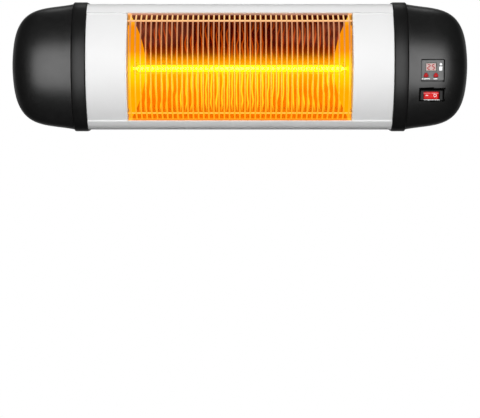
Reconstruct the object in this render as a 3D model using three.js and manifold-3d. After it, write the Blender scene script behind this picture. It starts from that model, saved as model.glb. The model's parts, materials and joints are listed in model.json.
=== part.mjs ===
// Wall-mounted electric bar heater: a quartz tube with a carbon strip in front of a polished
// trough, inside an extruded aluminium housing with domed plastic end caps. It hangs on a
// U-shaped wall bracket and tilts on it, held by two hand knobs whose studs run in arc slots.
//
// Millimetres. X runs along the heater, Z is up, and the wall is the plane Y = 0, with the
// heater in front of it at negative Y. A point of the heater's cross-section is given as
// [depth, height]: depth is measured forward from the back of the housing, height from its
// middle. Pieces for the two ends are made on the +X side and mirrored.

import * as THREE from 'three';
import { mergeVertices } from 'three/addons/utils/BufferGeometryUtils.js';
import Module from 'manifold-3d';

const wasm = await Module();
wasm.setup();

// ---------------------------------------------------------------- driving dimensions

const seat = 0.3; // gap between pieces that touch

// Stations along X, measured from the middle
const openingHalf = 151.5; // half of the heated opening
const panelWidth = 54.7; // white front panel, opening to collar
const collarWidth = 19.3;
const domeLength = 84.5;

// Cross-section
const bodyDepth = 112;
const halfHeight = 85.3;
const bowRadius = 114; // of the curved front
const stepHeight = 73.2; // where the front panel tucks behind the lip
const crownBehind = 54; // from the front back to where the section is tallest
const backHalfHeight = 70; // flat part of the back
const lipPull = 11; // how far the lip stays round
const crownPull = 15;
const rearPull = 50; // how far the top stays flat towards the rear corners
const bowSteps = 5;
const lipSteps = 3;
const rearSteps = 5;

// Sheet and wall thicknesses
const housingWall = 1.8;
const panelWall = 1.5;
const capWall = 2.4;
const bracketPlate = 2.5;
const reflectorPlate = 1;
const bulkheadPlate = 1.5;
const panelWallReach = 34; // how far the panels' end walls reach back from the front

// Housing slots for the bracket
const slotHeight = 30; // of each T slot, above and below the middle
const slotMouth = 6.5;
const slotWidth = 11;
const slotCavity = 4;
const slotLip = 2;

// Collar and dome
const collarProud = 2.4; // stands out over the housing
const collarChamfer = 1.2;
const collarFlange = 2.4; // turned-in rim that the dome closes on
const collarFlangeDrop = 4;
const domeShoulder = [44.7, 0.897]; // Bezier handle: distance out, share of the section
const domeNose = 1.037; // handle at the tip, as a share of the section
const domeSteps = 6;
const domeInnerSteps = 3;

// Cap screws in their moulded wells
const capScrewHeight = 42;
const wellRadius = 6;
const wellBore = 4.4;
const wellFloor = 3;
const screwHeadRadius = 3.8;
const screwHeadHeight = 2.6;
const screwHeadTaper = 0.8; // top of a pan head, as a share of its radius
const screwRadius = 1.9;
const screwBite = 6; // beyond the bulkhead
const portScrewHead = 1.6; // head of a bulkhead screw
const wirePassRadius = 7; // hole for the lamp leads

// Faces round small turned shapes. A hole has enough of them to clear the shank inside it.
const shankSides = 6;
const headSides = 8;
const screwHoleSides = 8;
const boltSides = 12;
const hexSides = 6;
const boreSides = 12;
const wellSides = 10;
const turnedSides = 16;

// Reflector trough
const troughRimBehind = 42; // from the front back to the trough's rim
const troughDip = 42; // rim to bottom
const troughHalfHeight = 69.5;
const troughSteps = 9;
const endPlateSlope = 20; // how far an end plate leans in towards the bottom
const endPlateTongue = 56; // half height of its part in front of the trough
const endPlateHoleGap = 1.5; // round the lamp

// Heating lamp
const lampBehind = 55; // from the front back to the tube's middle
const lampHeight = -2;
const tubeRadius = 7.5;
const tubeWall = 1.2;
const stripWidth = 8;
const stripThickness = 0.8;
const stripTail = 3; // width of its narrow ends
const stripTailLength = 14;
const ceramicRadius = 8.5;
const ceramicLength = 22;
const ceramicSocket = 4;
const lampBracketGap = 10; // from the tube's end
const lampBracketHalf = 13;
const lampBracketFoot = 15;
const leadBend = 7; // straight run out of the ceramic
const leadRun = { depth: 12, height: -17 }; // of the left lead along the housing's back
const leadEntry = { depth: 16, height: -8, apart: 4 }; // where the leads pass the right bulkhead
const leadLoop = 8; // the leads' reach beyond the terminal block's face
const leadRises = [0.1, 0.4, 0.8]; // of the way up to the terminals, along the loop
const leadDrops = { right: [0.3, 0.25], left: [0.4, 0.2] }; // from the lamp, and above the run, as shares
const leadSteps = { right: 18, left: 26 };
const leadRadius = 1.6;
const leadSides = 4;
const cutoutX = 60; // thermal cut-out on the trough's back
const cutoutRadius = 8;
const cutoutCapRadius = 6.5;
const cutoutBaseThick = 3;
const cutoutDepth = 10;
const lampBracketPlate = 1.5;
const lampBracketRim = 5; // round the ceramic

// The power board stands on the right bulkhead: its middle and size as depth by height, and the
// tops of its relay, capacitor and terminal block above it.
const powerBoard = { out: 6, depth: 44, height: 5, across: 44, tall: 58 };
const relay = { depth: 36, height: 24, across: 16, tall: 14, top: 15 };
const capacitor = { depth: 55, height: 24, radius: 6, top: 20 };
const terminalBlock = { depth: 33, height: 0, across: 14, tall: 28, top: 11 };
const standoffRadius = 2.6;
const standoffInset = 5;
const standoffSides = 6;

// Wire guard
const guardPitch = 7;
const guardEdge = 4; // least distance from the last wire to the opening's edge
const wireRadius = 1;
const railRadius = 1.25;
const weldDepth = 0.35;
const guardInset = 4; // wire centre behind the front bow
const guardBendHeight = 60;
const guardBendRadius = 5;
const guardRailShare = 0.39; // of the leg's length, from the bend to the rail
const guardRailEnd = 3.5; // rail beyond the opening's edge
const guardSides = 4;
const guardArcSteps = 4;
const guardBendSteps = 1;
const railSides = 4;

// Control panel in the right cap. What lies on the cap is placed by its distance out from the collar.
const fascia = { out: 32.4, z: -4.2, width: 31.8, height: 29.7, behind: 7.8, thick: 2, corner: 2.4 };
const fasciaGap = 1; // between the plate and its pocket
const pocketWall = 2;
const pocketFloor = 2;
const pocketLedge = 3.2;
const display = { out: 30.6, z: 0.2, width: 13.8, height: 10.2, thick: 1.4 };
const keysOut = { power_button: 23.8, timer_button: 36.9 };
const keysHeight = -11;
const keySwitchSize = 5.2;
const keySwitchGap = 0.1; // below a key at its full travel
const keyRadius = 3.2; // to its rounded corners
const keyCorner = 1.4;
const keyProud = 1;
const keyTravel = 0.7;
const keyFlange = 0.8;
const keyFlangeThick = 0.7;
const boardPlate = 1.6;

// Rocker switch
const rockerOut = 32.3;
const rockerZ = -38;
const switchPocket = { width: 33.4, height: 17.4, corner: 1, rise: 1.3 }; // its middle above the switch's
const bezel = { width: 30, height: 13.4, thick: 1.8, behind: 15.5 };
const switchBody = { width: 26, height: 12.4, depth: 20 };
const rockerWidth = 9.8;
const rockerEndRadius = 10.7;
const rockerFaceHeight = 4.2; // face above the pivot, at the middle
const rockerTilt = 10; // degrees either side of the middle
const rockerSunk = 0.5; // pressed face below the bezel
const rockerWell = 6; // hollow behind the pivot
const rockerLowAngle = 14; // where its round ends stop, behind the pivot
const rockerHeel = 0.55; // half width of its flat inner side, as a share of the end radius
const trunnionRadius = 1.1;
const terminalBlade = { thick: 0.8, width: 4.8, length: 8 };
const terminalPitch = 8;

// Cable gland at the back of the right cap
const glandOut = 26.5;
const glandZ = -30;
const glandBore = 4.2;
const glandThreadRadius = 7.6;
const glandHexRadius = 11;
const glandHexThick = 5;
const glandCapRadius = 9; // of the nut that grips the cable
const glandCapLength = 11;
const glandNoseLength = 3;
const glandThreadBeyond = 3; // thread beyond the locknut
const glandPadRadius = 13;
const glandPadDepth = 1; // depth of the moulded flat it seats on
const glandPadInner = 8;
const glandNutThick = 4.5;

// Bracket
const bodyStandoff = 78; // wall to the back of the housing
const pivotReach = 46; // wall to the tilt axis
const tiltRange = 45; // degrees downwards
const earInner = 65; // inner face of each wall-bracket ear
const wallPlateHalf = 28; // half height
const bendRadius = 4;
const bendSteps = 3;
const wallHoleX = 42;
const wallHoleZ = 17;
const wallHoleRadius = 3.5;
const slotArcRadius = 27;
const sectorRadius = 36;
const sectorBeyond = 12; // degrees of plate beyond each end of the arc slot
const pivotLobe = 14;
const pivotLobeArc = [170, 260]; // degrees from +Y
const studLobe = 9.5;
const yokeLobeInset = 1; // of the yoke's pivot lobe, within the wall bracket's
const yokePivotArc = [-80, 0]; // degrees from +Y
const yokeStudArc = [-20, 100];
const boltBeyond = 2; // threads stand out beyond their nuts
const boltRadius = 3;
const boltClearance = 0.45;
const yokeHalfHeight = 38;
const yokeScrewX = 45;
const yokeScrewRadius = 2.4;
const yokeScrewHead = { radius: 4.4, top: 3.4, height: 3.2 };
const nutRadius = 5.6; // to the corners of a hex
const nutThick = 3.6;
const washerRadius = 8;
const washerThick = 1.5;
const knobRadius = 15;
const knobLobes = 6;
const knobLobeHeight = 1.7;
const knobHubRadius = 8;
const knobHubLength = 5;
const knobHeadLength = 13;
const knobBevel = 1;
const knobSides = 18;
const knobCrown = 6; // plastic over the stud's end

// ---------------------------------------------------------------- stations worked out from them

const collarInnerX = openingHalf + panelWidth;
const collarOuterX = collarInnerX + collarWidth;
const domeBaseX = collarOuterX + seat;
const domeTipX = collarOuterX + domeLength;
const fasciaX = collarOuterX + fascia.out;
const displayX = collarOuterX + display.out;
const keyPlaces = Object.entries(keysOut).map(([name, out]) => [name, [collarOuterX + out, keysHeight]]);
const rockerX = collarOuterX + rockerOut;
const glandX = collarOuterX + glandOut;
const bulkheadOuterX = collarOuterX - collarFlange - seat;
const bulkheadInnerX = bulkheadOuterX - bulkheadPlate;
const housingHalf = bulkheadInnerX - seat;
const panelOuterFace = -(housingWall + seat); // offset from the section's outline
const panelInnerFace = panelOuterFace - panelWall;
const crownDepth = bodyDepth - crownBehind;
const domeCentreDepth = bodyDepth / 2;
const troughRimDepth = bodyDepth - troughRimBehind;
const troughDepth = troughRimDepth - troughDip;
const lampDepth = bodyDepth - lampBehind;
const panelWallDepth = bodyDepth - panelWallReach; // the panels' end walls lie in front of this depth
const fasciaFace = bodyDepth - fascia.behind;
const bezelFace = bodyDepth - bezel.behind;
const tubeHalf = openingHalf;
const lampBracketX = tubeHalf + lampBracketGap;
const lampScrewX = lampBracketX + (lampBracketPlate + lampBracketFoot) / 2;
const portScrewRadius = slotCavity / 2 - seat;
const pivotY = -pivotReach;
const guardWires = 2 * Math.floor((openingHalf - guardEdge) / guardPitch) + 1;

const toY = (depth) => -bodyStandoff - depth;
const radians = THREE.MathUtils.degToRad;
const portDepthY = toY(slotLip + slotCavity / 2); // middle of a T slot's cavity

const powerBoardX = bulkheadOuterX + powerBoard.out;
const boardTop = powerBoardX + boardPlate;
const boardFace = fasciaFace - fascia.thick - seat - pocketFloor - seat;
const rockerPivotDepth = bezelFace - rockerSunk - rockerFaceHeight * Math.cos(radians(rockerTilt));
const ceramicBack = tubeHalf + seat - ceramicSocket + ceramicLength + seat;
const terminalFace = boardTop + terminalBlock.top + 2 * seat;
const earOuter = earInner + bracketPlate;
const yokeHalf = earInner - seat;
const yokeEarInner = yokeHalf - bracketPlate;
const nutInnerX = yokeEarInner - nutThick;
const boltTail = nutInnerX - boltBeyond;
const yokeScrewPlaces = [-1, 1].flatMap((sx) => [-1, 1].map((sz) => [sx * yokeScrewX, sz * slotHeight]));
const tiltStart = 90 - tiltRange / 2; // direction of the stud from the pivot, in degrees from +Y
const studY = pivotY + slotArcRadius * Math.cos(radians(tiltStart));
const studZ = slotArcRadius * Math.sin(radians(tiltStart));
const washerX = earOuter + seat;
const knobX = washerX + washerThick + seat;
const knobTop = knobX + knobHubLength + knobHeadLength;
const studTop = knobTop - knobCrown;

// ---------------------------------------------------------------- geometry helpers

const axisX = new THREE.Vector3(1, 0, 0);
const axisY = new THREE.Vector3(0, 1, 0);
const axisZ = new THREE.Vector3(0, 0, 1);

// A closed mesh as a manifold-3d solid.
function solid(geometry) {
  const bare = new THREE.BufferGeometry();
  const loose = geometry.index ? geometry.toNonIndexed() : geometry;
  bare.setAttribute('position', loose.getAttribute('position'));
  const merged = mergeVertices(bare, 1e-4);
  return new wasm.Manifold(new wasm.Mesh({
    numProp: 3,
    vertProperties: new Float32Array(merged.attributes.position.array),
    triVerts: new Uint32Array(merged.index.array),
  }));
}

function geometryOf(manifold) {
  const mesh = manifold.getMesh();
  const geometry = new THREE.BufferGeometry();
  geometry.setAttribute('position', new THREE.BufferAttribute(new Float32Array(mesh.vertProperties), 3));
  geometry.setIndex(new THREE.BufferAttribute(new Uint32Array(mesh.triVerts), 1));
  return geometry;
}

const joined = (first, ...others) => others.reduce((sum, g) => sum.add(solid(g)), solid(first));
const cut = (body, ...tools) => tools.reduce((left, tool) => left.subtract(solid(tool)), body);

function mirrored(geometry) {
  const flipped = (geometry.index ? geometry.toNonIndexed() : geometry.clone()).scale(-1, 1, 1);
  const position = flipped.getAttribute('position');
  const second = new THREE.Vector3();
  const third = new THREE.Vector3();
  for (let i = 0; i < position.count; i += 3) {
    second.fromBufferAttribute(position, i + 1);
    third.fromBufferAttribute(position, i + 2);
    position.setXYZ(i + 1, ...third.toArray());
    position.setXYZ(i + 2, ...second.toArray());
  }
  flipped.deleteAttribute('normal');
  flipped.deleteAttribute('uv');
  return flipped;
}

// A shape drawn in the (Y, Z) plane, extruded along X.
function extrudeX(shape, x0, x1, curveSegments = 8) {
  const made = new THREE.ExtrudeGeometry(shape, { depth: x1 - x0, bevelEnabled: false, curveSegments });
  return made.applyMatrix4(new THREE.Matrix4().makeBasis(axisY, axisZ, axisX)).translate(x0, 0, 0);
}

// A shape drawn in the (X, Z) plane, extruded from depth d0 forward to depth d1.
function extrudeDepth(shape, d0, d1, curveSegments = 6) {
  const made = new THREE.ExtrudeGeometry(shape, { depth: d1 - d0, bevelEnabled: false, curveSegments });
  const basis = new THREE.Matrix4().makeBasis(axisX, axisZ, axisY.clone().negate());
  return made.applyMatrix4(basis).translate(0, toY(d0), 0);
}

// A shape drawn in the (X, Y) plane, extruded along Z.
function extrudeZ(shape, z0, z1, curveSegments = 8) {
  const made = new THREE.ExtrudeGeometry(shape, { depth: z1 - z0, bevelEnabled: false, curveSegments });
  return made.translate(0, 0, z0);
}

function box(x0, x1, y0, y1, z0, z1) {
  const made = new THREE.BoxGeometry(Math.abs(x1 - x0), Math.abs(y1 - y0), Math.abs(z1 - z0));
  return made.translate((x0 + x1) / 2, (y0 + y1) / 2, (z0 + z1) / 2);
}

const depthBox = (x0, x1, d0, d1, z0, z1) => box(x0, x1, toY(d1), toY(d0), z0, z1);

// A cylinder along Z between two heights, at (x, y).
function rodZ(radius, z0, z1, x, y, sides) {
  const made = new THREE.CylinderGeometry(radius, radius, z1 - z0, sides);
  return made.rotateX(Math.PI / 2).translate(x, y, (z0 + z1) / 2);
}

// A cylinder or prism along X from x0 to x1, at (y, z).
function rodX(radius, x0, x1, y, z, sides = 16, endRadius = radius) {
  const made = new THREE.CylinderGeometry(endRadius, radius, x1 - x0, sides);
  return made.rotateZ(-Math.PI / 2).translate((x0 + x1) / 2, y, z);
}

// A cylinder or prism along Y, between two depths, at (x, z).
function rodDepth(radius, d0, d1, x, z, sides = 16, endRadius = radius) {
  const made = new THREE.CylinderGeometry(radius, endRadius, d1 - d0, sides);
  return made.translate(x, toY((d0 + d1) / 2), z);
}

function rectangle(x, z, width, height, corner = 0) {
  const corners = [[1, -1], [1, 1], [-1, 1], [-1, -1]].map(([sx, sz]) => new THREE.Vector2(
    x + sx * (width / 2 - corner), z + sz * (height / 2 - corner),
  ));
  if (!corner) return new THREE.Shape(corners);
  const shape = new THREE.Shape();
  corners.forEach((at, i) => shape.absarc(at.x, at.y, corner, ((i - 1) * Math.PI) / 2, (i * Math.PI) / 2));
  shape.closePath();
  return shape;
}

function circle(x, y, radius) {
  return new THREE.Shape().absarc(x, y, radius, 0, 2 * Math.PI);
}

const withHoles = (shape, ...holes) => {
  shape.holes.push(...holes);
  return shape;
};

// Skins a list of equal rings of points. An end is closed by a fan over its ring, or by a cone to a tip.
function loft(rings, { closed = false, startTip, endTip } = {}) {
  const count = rings[0].length;
  const points = rings.flat();
  const faces = [];
  const bands = closed ? rings.length : rings.length - 1;
  for (let r = 0; r < bands; r += 1) {
    const [here, next] = [r * count, ((r + 1) % rings.length) * count];
    for (let i = 0; i < count; i += 1) {
      const j = (i + 1) % count;
      faces.push(here + i, next + i, next + j, here + i, next + j, here + j);
    }
  }
  const close = (ring, tip, turn) => {
    const centre = tip ? points.push(tip) - 1 : ring;
    for (let i = tip ? 0 : 1; i < (tip ? count : count - 1); i += 1) {
      const edge = [ring + i, ring + ((i + 1) % count)];
      faces.push(centre, ...(turn ? edge.reverse() : edge));
    }
  };
  if (!closed) {
    close(0, startTip, false);
    close((rings.length - 1) * count, endTip, true);
  }
  const geometry = new THREE.BufferGeometry().setFromPoints(points);
  geometry.setIndex(faces);
  return facingOut(geometry);
}

// Reverses a closed indexed mesh whose faces point inwards.
function facingOut(geometry) {
  const position = geometry.getAttribute('position');
  const index = geometry.getIndex().array;
  const corner = [0, 1, 2].map(() => new THREE.Vector3());
  let volume = 0;
  for (let i = 0; i < index.length; i += 3) {
    corner.forEach((c, k) => c.fromBufferAttribute(position, index[i + k]));
    volume += corner[0].dot(corner[1].clone().cross(corner[2]));
  }
  if (volume < 0) {
    for (let i = 0; i < index.length; i += 3) [index[i + 1], index[i + 2]] = [index[i + 2], index[i + 1]];
  }
  return geometry;
}

// ---------------------------------------------------------------- cross-section

const curvePoints = (p0, p1, p2, p3, steps) => new THREE.CubicBezierCurve(
  ...[p0, p1, p2, p3].map(([d, h]) => new THREE.Vector2(d, h)),
).getPoints(steps).map((p) => [p.x, p.y]);

// From the front apex over the crown to the top of the flat back.
function upperSection() {
  const bowAngle = Math.asin(stepHeight / bowRadius);
  const bowCentre = bodyDepth - bowRadius;
  const bow = [];
  for (let i = 0; i <= bowSteps; i += 1) {
    const a = (bowAngle * i) / bowSteps;
    bow.push([bowCentre + bowRadius * Math.cos(a), bowRadius * Math.sin(a)]);
  }
  const step = bow[bowSteps];
  const handle = [step[0] - lipPull * Math.sin(bowAngle), step[1] + lipPull * Math.cos(bowAngle)];
  const crown = [crownDepth, halfHeight];
  const lip = curvePoints(step, handle, [crownDepth + crownPull, halfHeight], crown, lipSteps);
  const rear = curvePoints(
    crown, [crownDepth - rearPull, halfHeight], [0, halfHeight], [0, backHalfHeight], rearSteps,
  );
  return [...bow, ...lip.slice(1), ...rear.slice(1)];
}

const upper = upperSection();
const section = [...upper, ...upper.slice(1).reverse().map(([d, h]) => [d, -h])];
const lastUpper = upper.length - 1;
const onBow = (i) => i < bowSteps || i > section.length - bowSteps;

// The section moved outwards along its edges' normals. The offset may differ from point to point.
function sectionAt(offset) {
  const amount = typeof offset === 'function' ? offset : () => offset;
  const count = section.length;
  return section.map((point, i) => {
    const here = new THREE.Vector2(...point);
    const before = here.clone().sub(new THREE.Vector2(...section[(i + count - 1) % count])).normalize();
    const after = new THREE.Vector2(...section[(i + 1) % count]).sub(here).normalize();
    const bisector = before.clone().add(after).normalize();
    const stretch = amount(i) / bisector.dot(after);
    return [point[0] + bisector.y * stretch, point[1] - bisector.x * stretch];
  }).map(([d, h], i) => (i === 0 ? [d, 0] : [d, h]));
}

// Height of the upper section, moved by an offset, at a depth behind the crown or in front of it.
function heightAt(depth, offset) {
  const line = sectionAt(offset).slice(0, lastUpper + 1);
  const i = line.findIndex(([d], k) => k > 0 && d <= depth);
  const [a, b] = [line[i - 1], line[i]];
  return a[1] + ((b[1] - a[1]) * (a[0] - depth)) / (a[0] - b[0]);
}

const ringAt = (points, x) => points.map(([d, h]) => new THREE.Vector3(x, toY(d), h));

const shapeOf = (points) => new THREE.Shape(points.map(([d, h]) => new THREE.Vector2(toY(d), h)));

// ---------------------------------------------------------------- housing

// The back wall's two T slots, as steps in the outer line and in the inner line of the section.
function slotOuter(height) {
  const [mouth, half] = [slotMouth / 2, slotWidth / 2];
  const floor = slotLip + slotCavity;
  return [
    [0, height + mouth], [slotLip, height + mouth], [slotLip, height + half], [floor, height + half],
    [floor, height - half], [slotLip, height - half], [slotLip, height - mouth], [0, height - mouth],
  ];
}

function slotInner(height) {
  const half = slotWidth / 2 + housingWall;
  const floor = slotLip + slotCavity + housingWall;
  return [
    [housingWall, height + half], [floor, height + half],
    [floor, height - half], [housingWall, height - half],
  ];
}

function housing() {
  const outer = sectionAt(0).slice(bowSteps, section.length - bowSteps + 1);
  const inner = sectionAt(-housingWall).slice(bowSteps, section.length - bowSteps + 1);
  const split = outer.length / 2;
  const rim = [
    ...outer.slice(0, split), ...slotOuter(slotHeight), ...slotOuter(-slotHeight), ...outer.slice(split),
  ];
  const bore = [
    ...inner.slice(0, split), ...slotInner(slotHeight), ...slotInner(-slotHeight), ...inner.slice(split),
  ];
  const shell = solid(extrudeX(shapeOf([...rim, ...bore.reverse()]), -housingHalf, housingHalf));
  const holes = [-1, 1].map((side) => rodDepth(
    screwRadius + boltClearance, -1, housingWall + 1, side * lampScrewX, 0, screwHoleSides,
  ));
  return geometryOf(cut(shell, ...holes));
}

// A curved cover between the opening and the collar, tucked behind both lips. At the opening it
// turns back into an end wall, which the guard's rails pass through.
function frontPanel() {
  const reach = bowSteps + 1;
  const band = (offset) => {
    const line = sectionAt(offset);
    return [...line.slice(-reach), ...line.slice(0, reach + 1)];
  };
  const skin = shapeOf([...band(panelOuterFace), ...band(panelInnerFace).reverse()]);
  const cover = extrudeX(skin, openingHalf, housingHalf - seat);
  const [depth, height] = railCentre();
  const railHoles = [-1, 1].map((s) => circle(toY(depth), s * height, railRadius + seat));
  const whole = withHoles(shapeOf(sectionAt(panelOuterFace)), ...railHoles);
  const front = depthBox(
    openingHalf - 1, openingHalf + 2 * panelWall, panelWallDepth, bodyDepth, -halfHeight, halfHeight,
  );
  const endWall = solid(extrudeX(whole, openingHalf, openingHalf + panelWall, 3)).intersect(solid(front));
  return geometryOf(solid(cover).add(endWall));
}

function bulkhead() {
  const outline = shapeOf(sectionAt((i) => (onBow(i) ? panelOuterFace : 0) - seat));
  const wireHole = circle(toY(leadEntry.depth), leadEntry.height, wirePassRadius);
  const capHoles = [-1, 1].map((s) => circle(toY(domeCentreDepth), s * capScrewHeight, screwRadius + seat));
  const portHoles = [-1, 1].map((s) => circle(portDepthY, s * slotHeight, portScrewRadius + seat));
  const holes = [wireHole, ...capHoles, ...portHoles];
  return extrudeX(withHoles(outline, ...holes), bulkheadInnerX, bulkheadOuterX, screwHoleSides / 2);
}

// A screw that holds the bulkhead in the end of a T slot.
function bulkheadScrew(side) {
  const head = bulkheadOuterX + seat;
  const at = [portDepthY, side * slotHeight];
  return geometryOf(joined(
    rodX(portScrewRadius, bulkheadInnerX - screwBite, head, ...at, shankSides),
    rodX(2 * portScrewRadius, head, head + portScrewHead, ...at, headSides),
  ));
}

// ---------------------------------------------------------------- collar and domed cap

// The collar's turned-in rim is notched for the bulkhead's screws.
function collar() {
  const inside = (i) => (onBow(i) ? panelOuterFace + seat : seat);
  const profile = [
    [collarInnerX, inside],
    [collarInnerX, collarProud - collarChamfer],
    [collarInnerX + collarChamfer, collarProud],
    [collarOuterX - collarChamfer, collarProud],
    [collarOuterX, collarProud - collarChamfer],
    [collarOuterX, -collarFlangeDrop],
    [collarOuterX - collarFlange, -collarFlangeDrop],
    [collarOuterX - collarFlange, inside],
  ];
  const ring = solid(loft(profile.map(([x, offset]) => ringAt(sectionAt(offset), x)), { closed: true }));
  const notches = [-1, 1].map((s) => rodX(
    2 * portScrewRadius + 2 * seat, collarOuterX - collarFlange - 1, collarOuterX + 1,
    portDepthY, s * slotHeight, headSides,
  ));
  return geometryOf(cut(ring, ...notches));
}

const domeCurve = new THREE.CubicBezierCurve(
  new THREE.Vector2(0, 1),
  new THREE.Vector2(...domeShoulder),
  new THREE.Vector2(domeLength, domeNose),
  new THREE.Vector2(domeLength, 0),
);

// Rings from the open rim to near the tip, each a scaled copy of the section.
function domeRings(offset, length, steps) {
  const points = sectionAt(offset);
  const rings = [];
  for (let i = 0; i < steps; i += 1) {
    const along = domeCurve.getPoint(i / steps);
    const scaled = points.map(([d, h]) => [domeCentreDepth + (d - domeCentreDepth) * along.y, h * along.y]);
    const x = domeBaseX + (along.x / domeLength) * (length - seat);
    rings.push(ringAt(scaled, x));
  }
  return rings;
}

const domeTip = (length) => new THREE.Vector3(collarOuterX + length, toY(domeCentreDepth), 0);

function domeShell() {
  const outside = domeRings(0, domeLength, domeSteps);
  const inside = domeRings(-capWall, domeLength - capWall, domeInnerSteps);
  return loft([...inside.reverse(), ...outside], {
    startTip: domeTip(domeLength - capWall),
    endTip: domeTip(domeLength),
  });
}

const domeFilled = () => loft(domeRings(0, domeLength, domeSteps), { endTip: domeTip(domeLength) });

// Both caps: the shell with a well at each screw, down to a floor on the bulkhead.
function plainCap() {
  const wellTop = domeTipX;
  const mouth = domeTipX + 1;
  const at = (s) => [toY(domeCentreDepth), s * capScrewHeight];
  const filled = solid(domeFilled());
  const wellStart = bulkheadOuterX + seat;
  let cap = solid(domeShell());
  for (const s of [-1, 1]) {
    const post = solid(rodX(wellRadius, domeBaseX, wellTop, ...at(s), wellSides)).intersect(filled);
    const foot = solid(rodX(wellRadius - seat, wellStart, domeBaseX + 1, ...at(s), wellSides));
    cap = cap.add(post).add(foot);
  }
  for (const s of [-1, 1]) {
    cap = cut(
      cap,
      rodX(wellBore, wellStart + wellFloor, mouth, ...at(s), wellSides),
      rodX(screwRadius + seat, wellStart - 1, wellStart + wellFloor + 1, ...at(s), screwHoleSides),
    );
  }
  return cap;
}

// A pan-head screw at the bottom of a well.
function capScrew(side) {
  const under = bulkheadOuterX + seat + wellFloor + seat;
  const at = [toY(domeCentreDepth), side * capScrewHeight];
  return geometryOf(joined(
    rodX(screwRadius, bulkheadInnerX - screwBite, under, ...at, shankSides),
    rodX(screwHeadRadius, under, under + screwHeadHeight, ...at, headSides, screwHeadRadius * screwHeadTaper),
  ));
}

// The right cap also carries the sunk control panel, the switch pocket and the cable gland.
function controlCap() {
  const front = bodyDepth + 5;
  const filled = solid(domeFilled());
  const panelFloor = fasciaFace - fascia.thick - seat;
  const switchFloor = bezelFace - bezel.thick - seat;
  const pockets = [
    { ...fascia, x: fasciaX, floor: panelFloor },
    { x: rockerX, z: rockerZ + switchPocket.rise, ...switchPocket, floor: switchFloor },
  ];
  let cap = plainCap();
  for (const p of pockets) {
    const rim = rectangle(p.x, p.z, p.width + 2 * pocketWall, p.height + 2 * pocketWall, p.corner);
    cap = cap.add(solid(extrudeDepth(rim, p.floor - pocketFloor, front, 1)).intersect(filled));
  }
  for (const p of pockets) {
    cap = cut(cap, extrudeDepth(rectangle(p.x, p.z, p.width, p.height, p.corner), p.floor, front, 2));
  }
  const window = rectangle(
    fasciaX, fascia.z, fascia.width - 2 * pocketLedge, fascia.height - 2 * pocketLedge,
  );
  const opening = rectangle(rockerX, rockerZ, switchBody.width + 2 * seat, switchBody.height + 2 * seat);
  cap = cut(
    cap,
    extrudeDepth(window, panelFloor - pocketFloor - 1, front),
    extrudeDepth(opening, switchFloor - pocketFloor - 1, front),
  );
  cap = cap.add(solid(rodDepth(glandPadRadius, glandPadDepth, glandPadInner, glandX, glandZ, turnedSides)));
  const glandHole = rodDepth(glandThreadRadius + seat, -1, glandPadInner + 1, glandX, glandZ, turnedSides);
  return geometryOf(cut(cap, glandHole));
}

function cableGland() {
  const under = glandPadDepth - seat;
  const hex = under - glandHexThick;
  const nut = hex - glandCapLength;
  const tip = nut - glandNoseLength;
  const end = glandPadInner + glandNutThick + glandThreadBeyond;
  const body = joined(
    rodDepth(glandThreadRadius, under - 1, end, glandX, glandZ, boltSides),
    rodDepth(glandHexRadius, hex, under, glandX, glandZ, hexSides),
    rodDepth(glandCapRadius, nut, hex + 1, glandX, glandZ, boltSides),
    rodDepth(glandCapRadius - glandNoseLength, tip, nut + 1, glandX, glandZ, boltSides, glandCapRadius),
  );
  return geometryOf(cut(body, rodDepth(glandBore, tip - 1, end + 1, glandX, glandZ, boreSides)));
}

function glandLocknut() {
  const start = glandPadInner + seat;
  const end = start + glandNutThick;
  const hex = rodDepth(glandHexRadius, start, end, glandX, glandZ, hexSides);
  const bore = rodDepth(glandThreadRadius + seat, start - 1, end + 1, glandX, glandZ, turnedSides);
  return geometryOf(cut(solid(hex), bore));
}

// ---------------------------------------------------------------- control panel

// A triangle with rounded corners, point up, as on the two keys.
function keyShape(x, z, grow) {
  const shape = new THREE.Shape();
  const reach = keyRadius - keyCorner;
  for (const corner of [0, 1, 2]) {
    const a = Math.PI / 2 + (corner * 2 * Math.PI) / 3;
    const centre = [x + reach * Math.cos(a), z + reach * Math.sin(a)];
    shape.absarc(...centre, keyCorner + grow, a - Math.PI / 3, a + Math.PI / 3);
  }
  shape.closePath();
  return shape;
}

function controlFascia() {
  const plate = rectangle(
    fasciaX, fascia.z,
    fascia.width - 2 * fasciaGap, fascia.height - 2 * fasciaGap, fascia.corner - fasciaGap,
  );
  const holes = keyPlaces.map(([, [x, z]]) => keyShape(x, z, seat));
  holes.push(rectangle(displayX, display.z, display.width + 2 * seat, display.height + 2 * seat));
  return extrudeDepth(withHoles(plate, ...holes), fasciaFace - fascia.thick, fasciaFace, 2);
}

function displayWindow() {
  const pane = rectangle(displayX, display.z, display.width, display.height);
  return extrudeDepth(pane, fasciaFace - seat - display.thick, fasciaFace - seat);
}

// A key: its cap stands proud of the fascia, and a flange behind the fascia keeps it in.
function pushKey([x, z]) {
  const flangeTop = fasciaFace - fascia.thick - seat;
  return geometryOf(joined(
    extrudeDepth(keyShape(x, z, 0), flangeTop - keyFlangeThick / 2, fasciaFace + keyProud, 2),
    extrudeDepth(keyShape(x, z, keyFlange), flangeTop - keyFlangeThick, flangeTop, 2),
  ));
}

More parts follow.
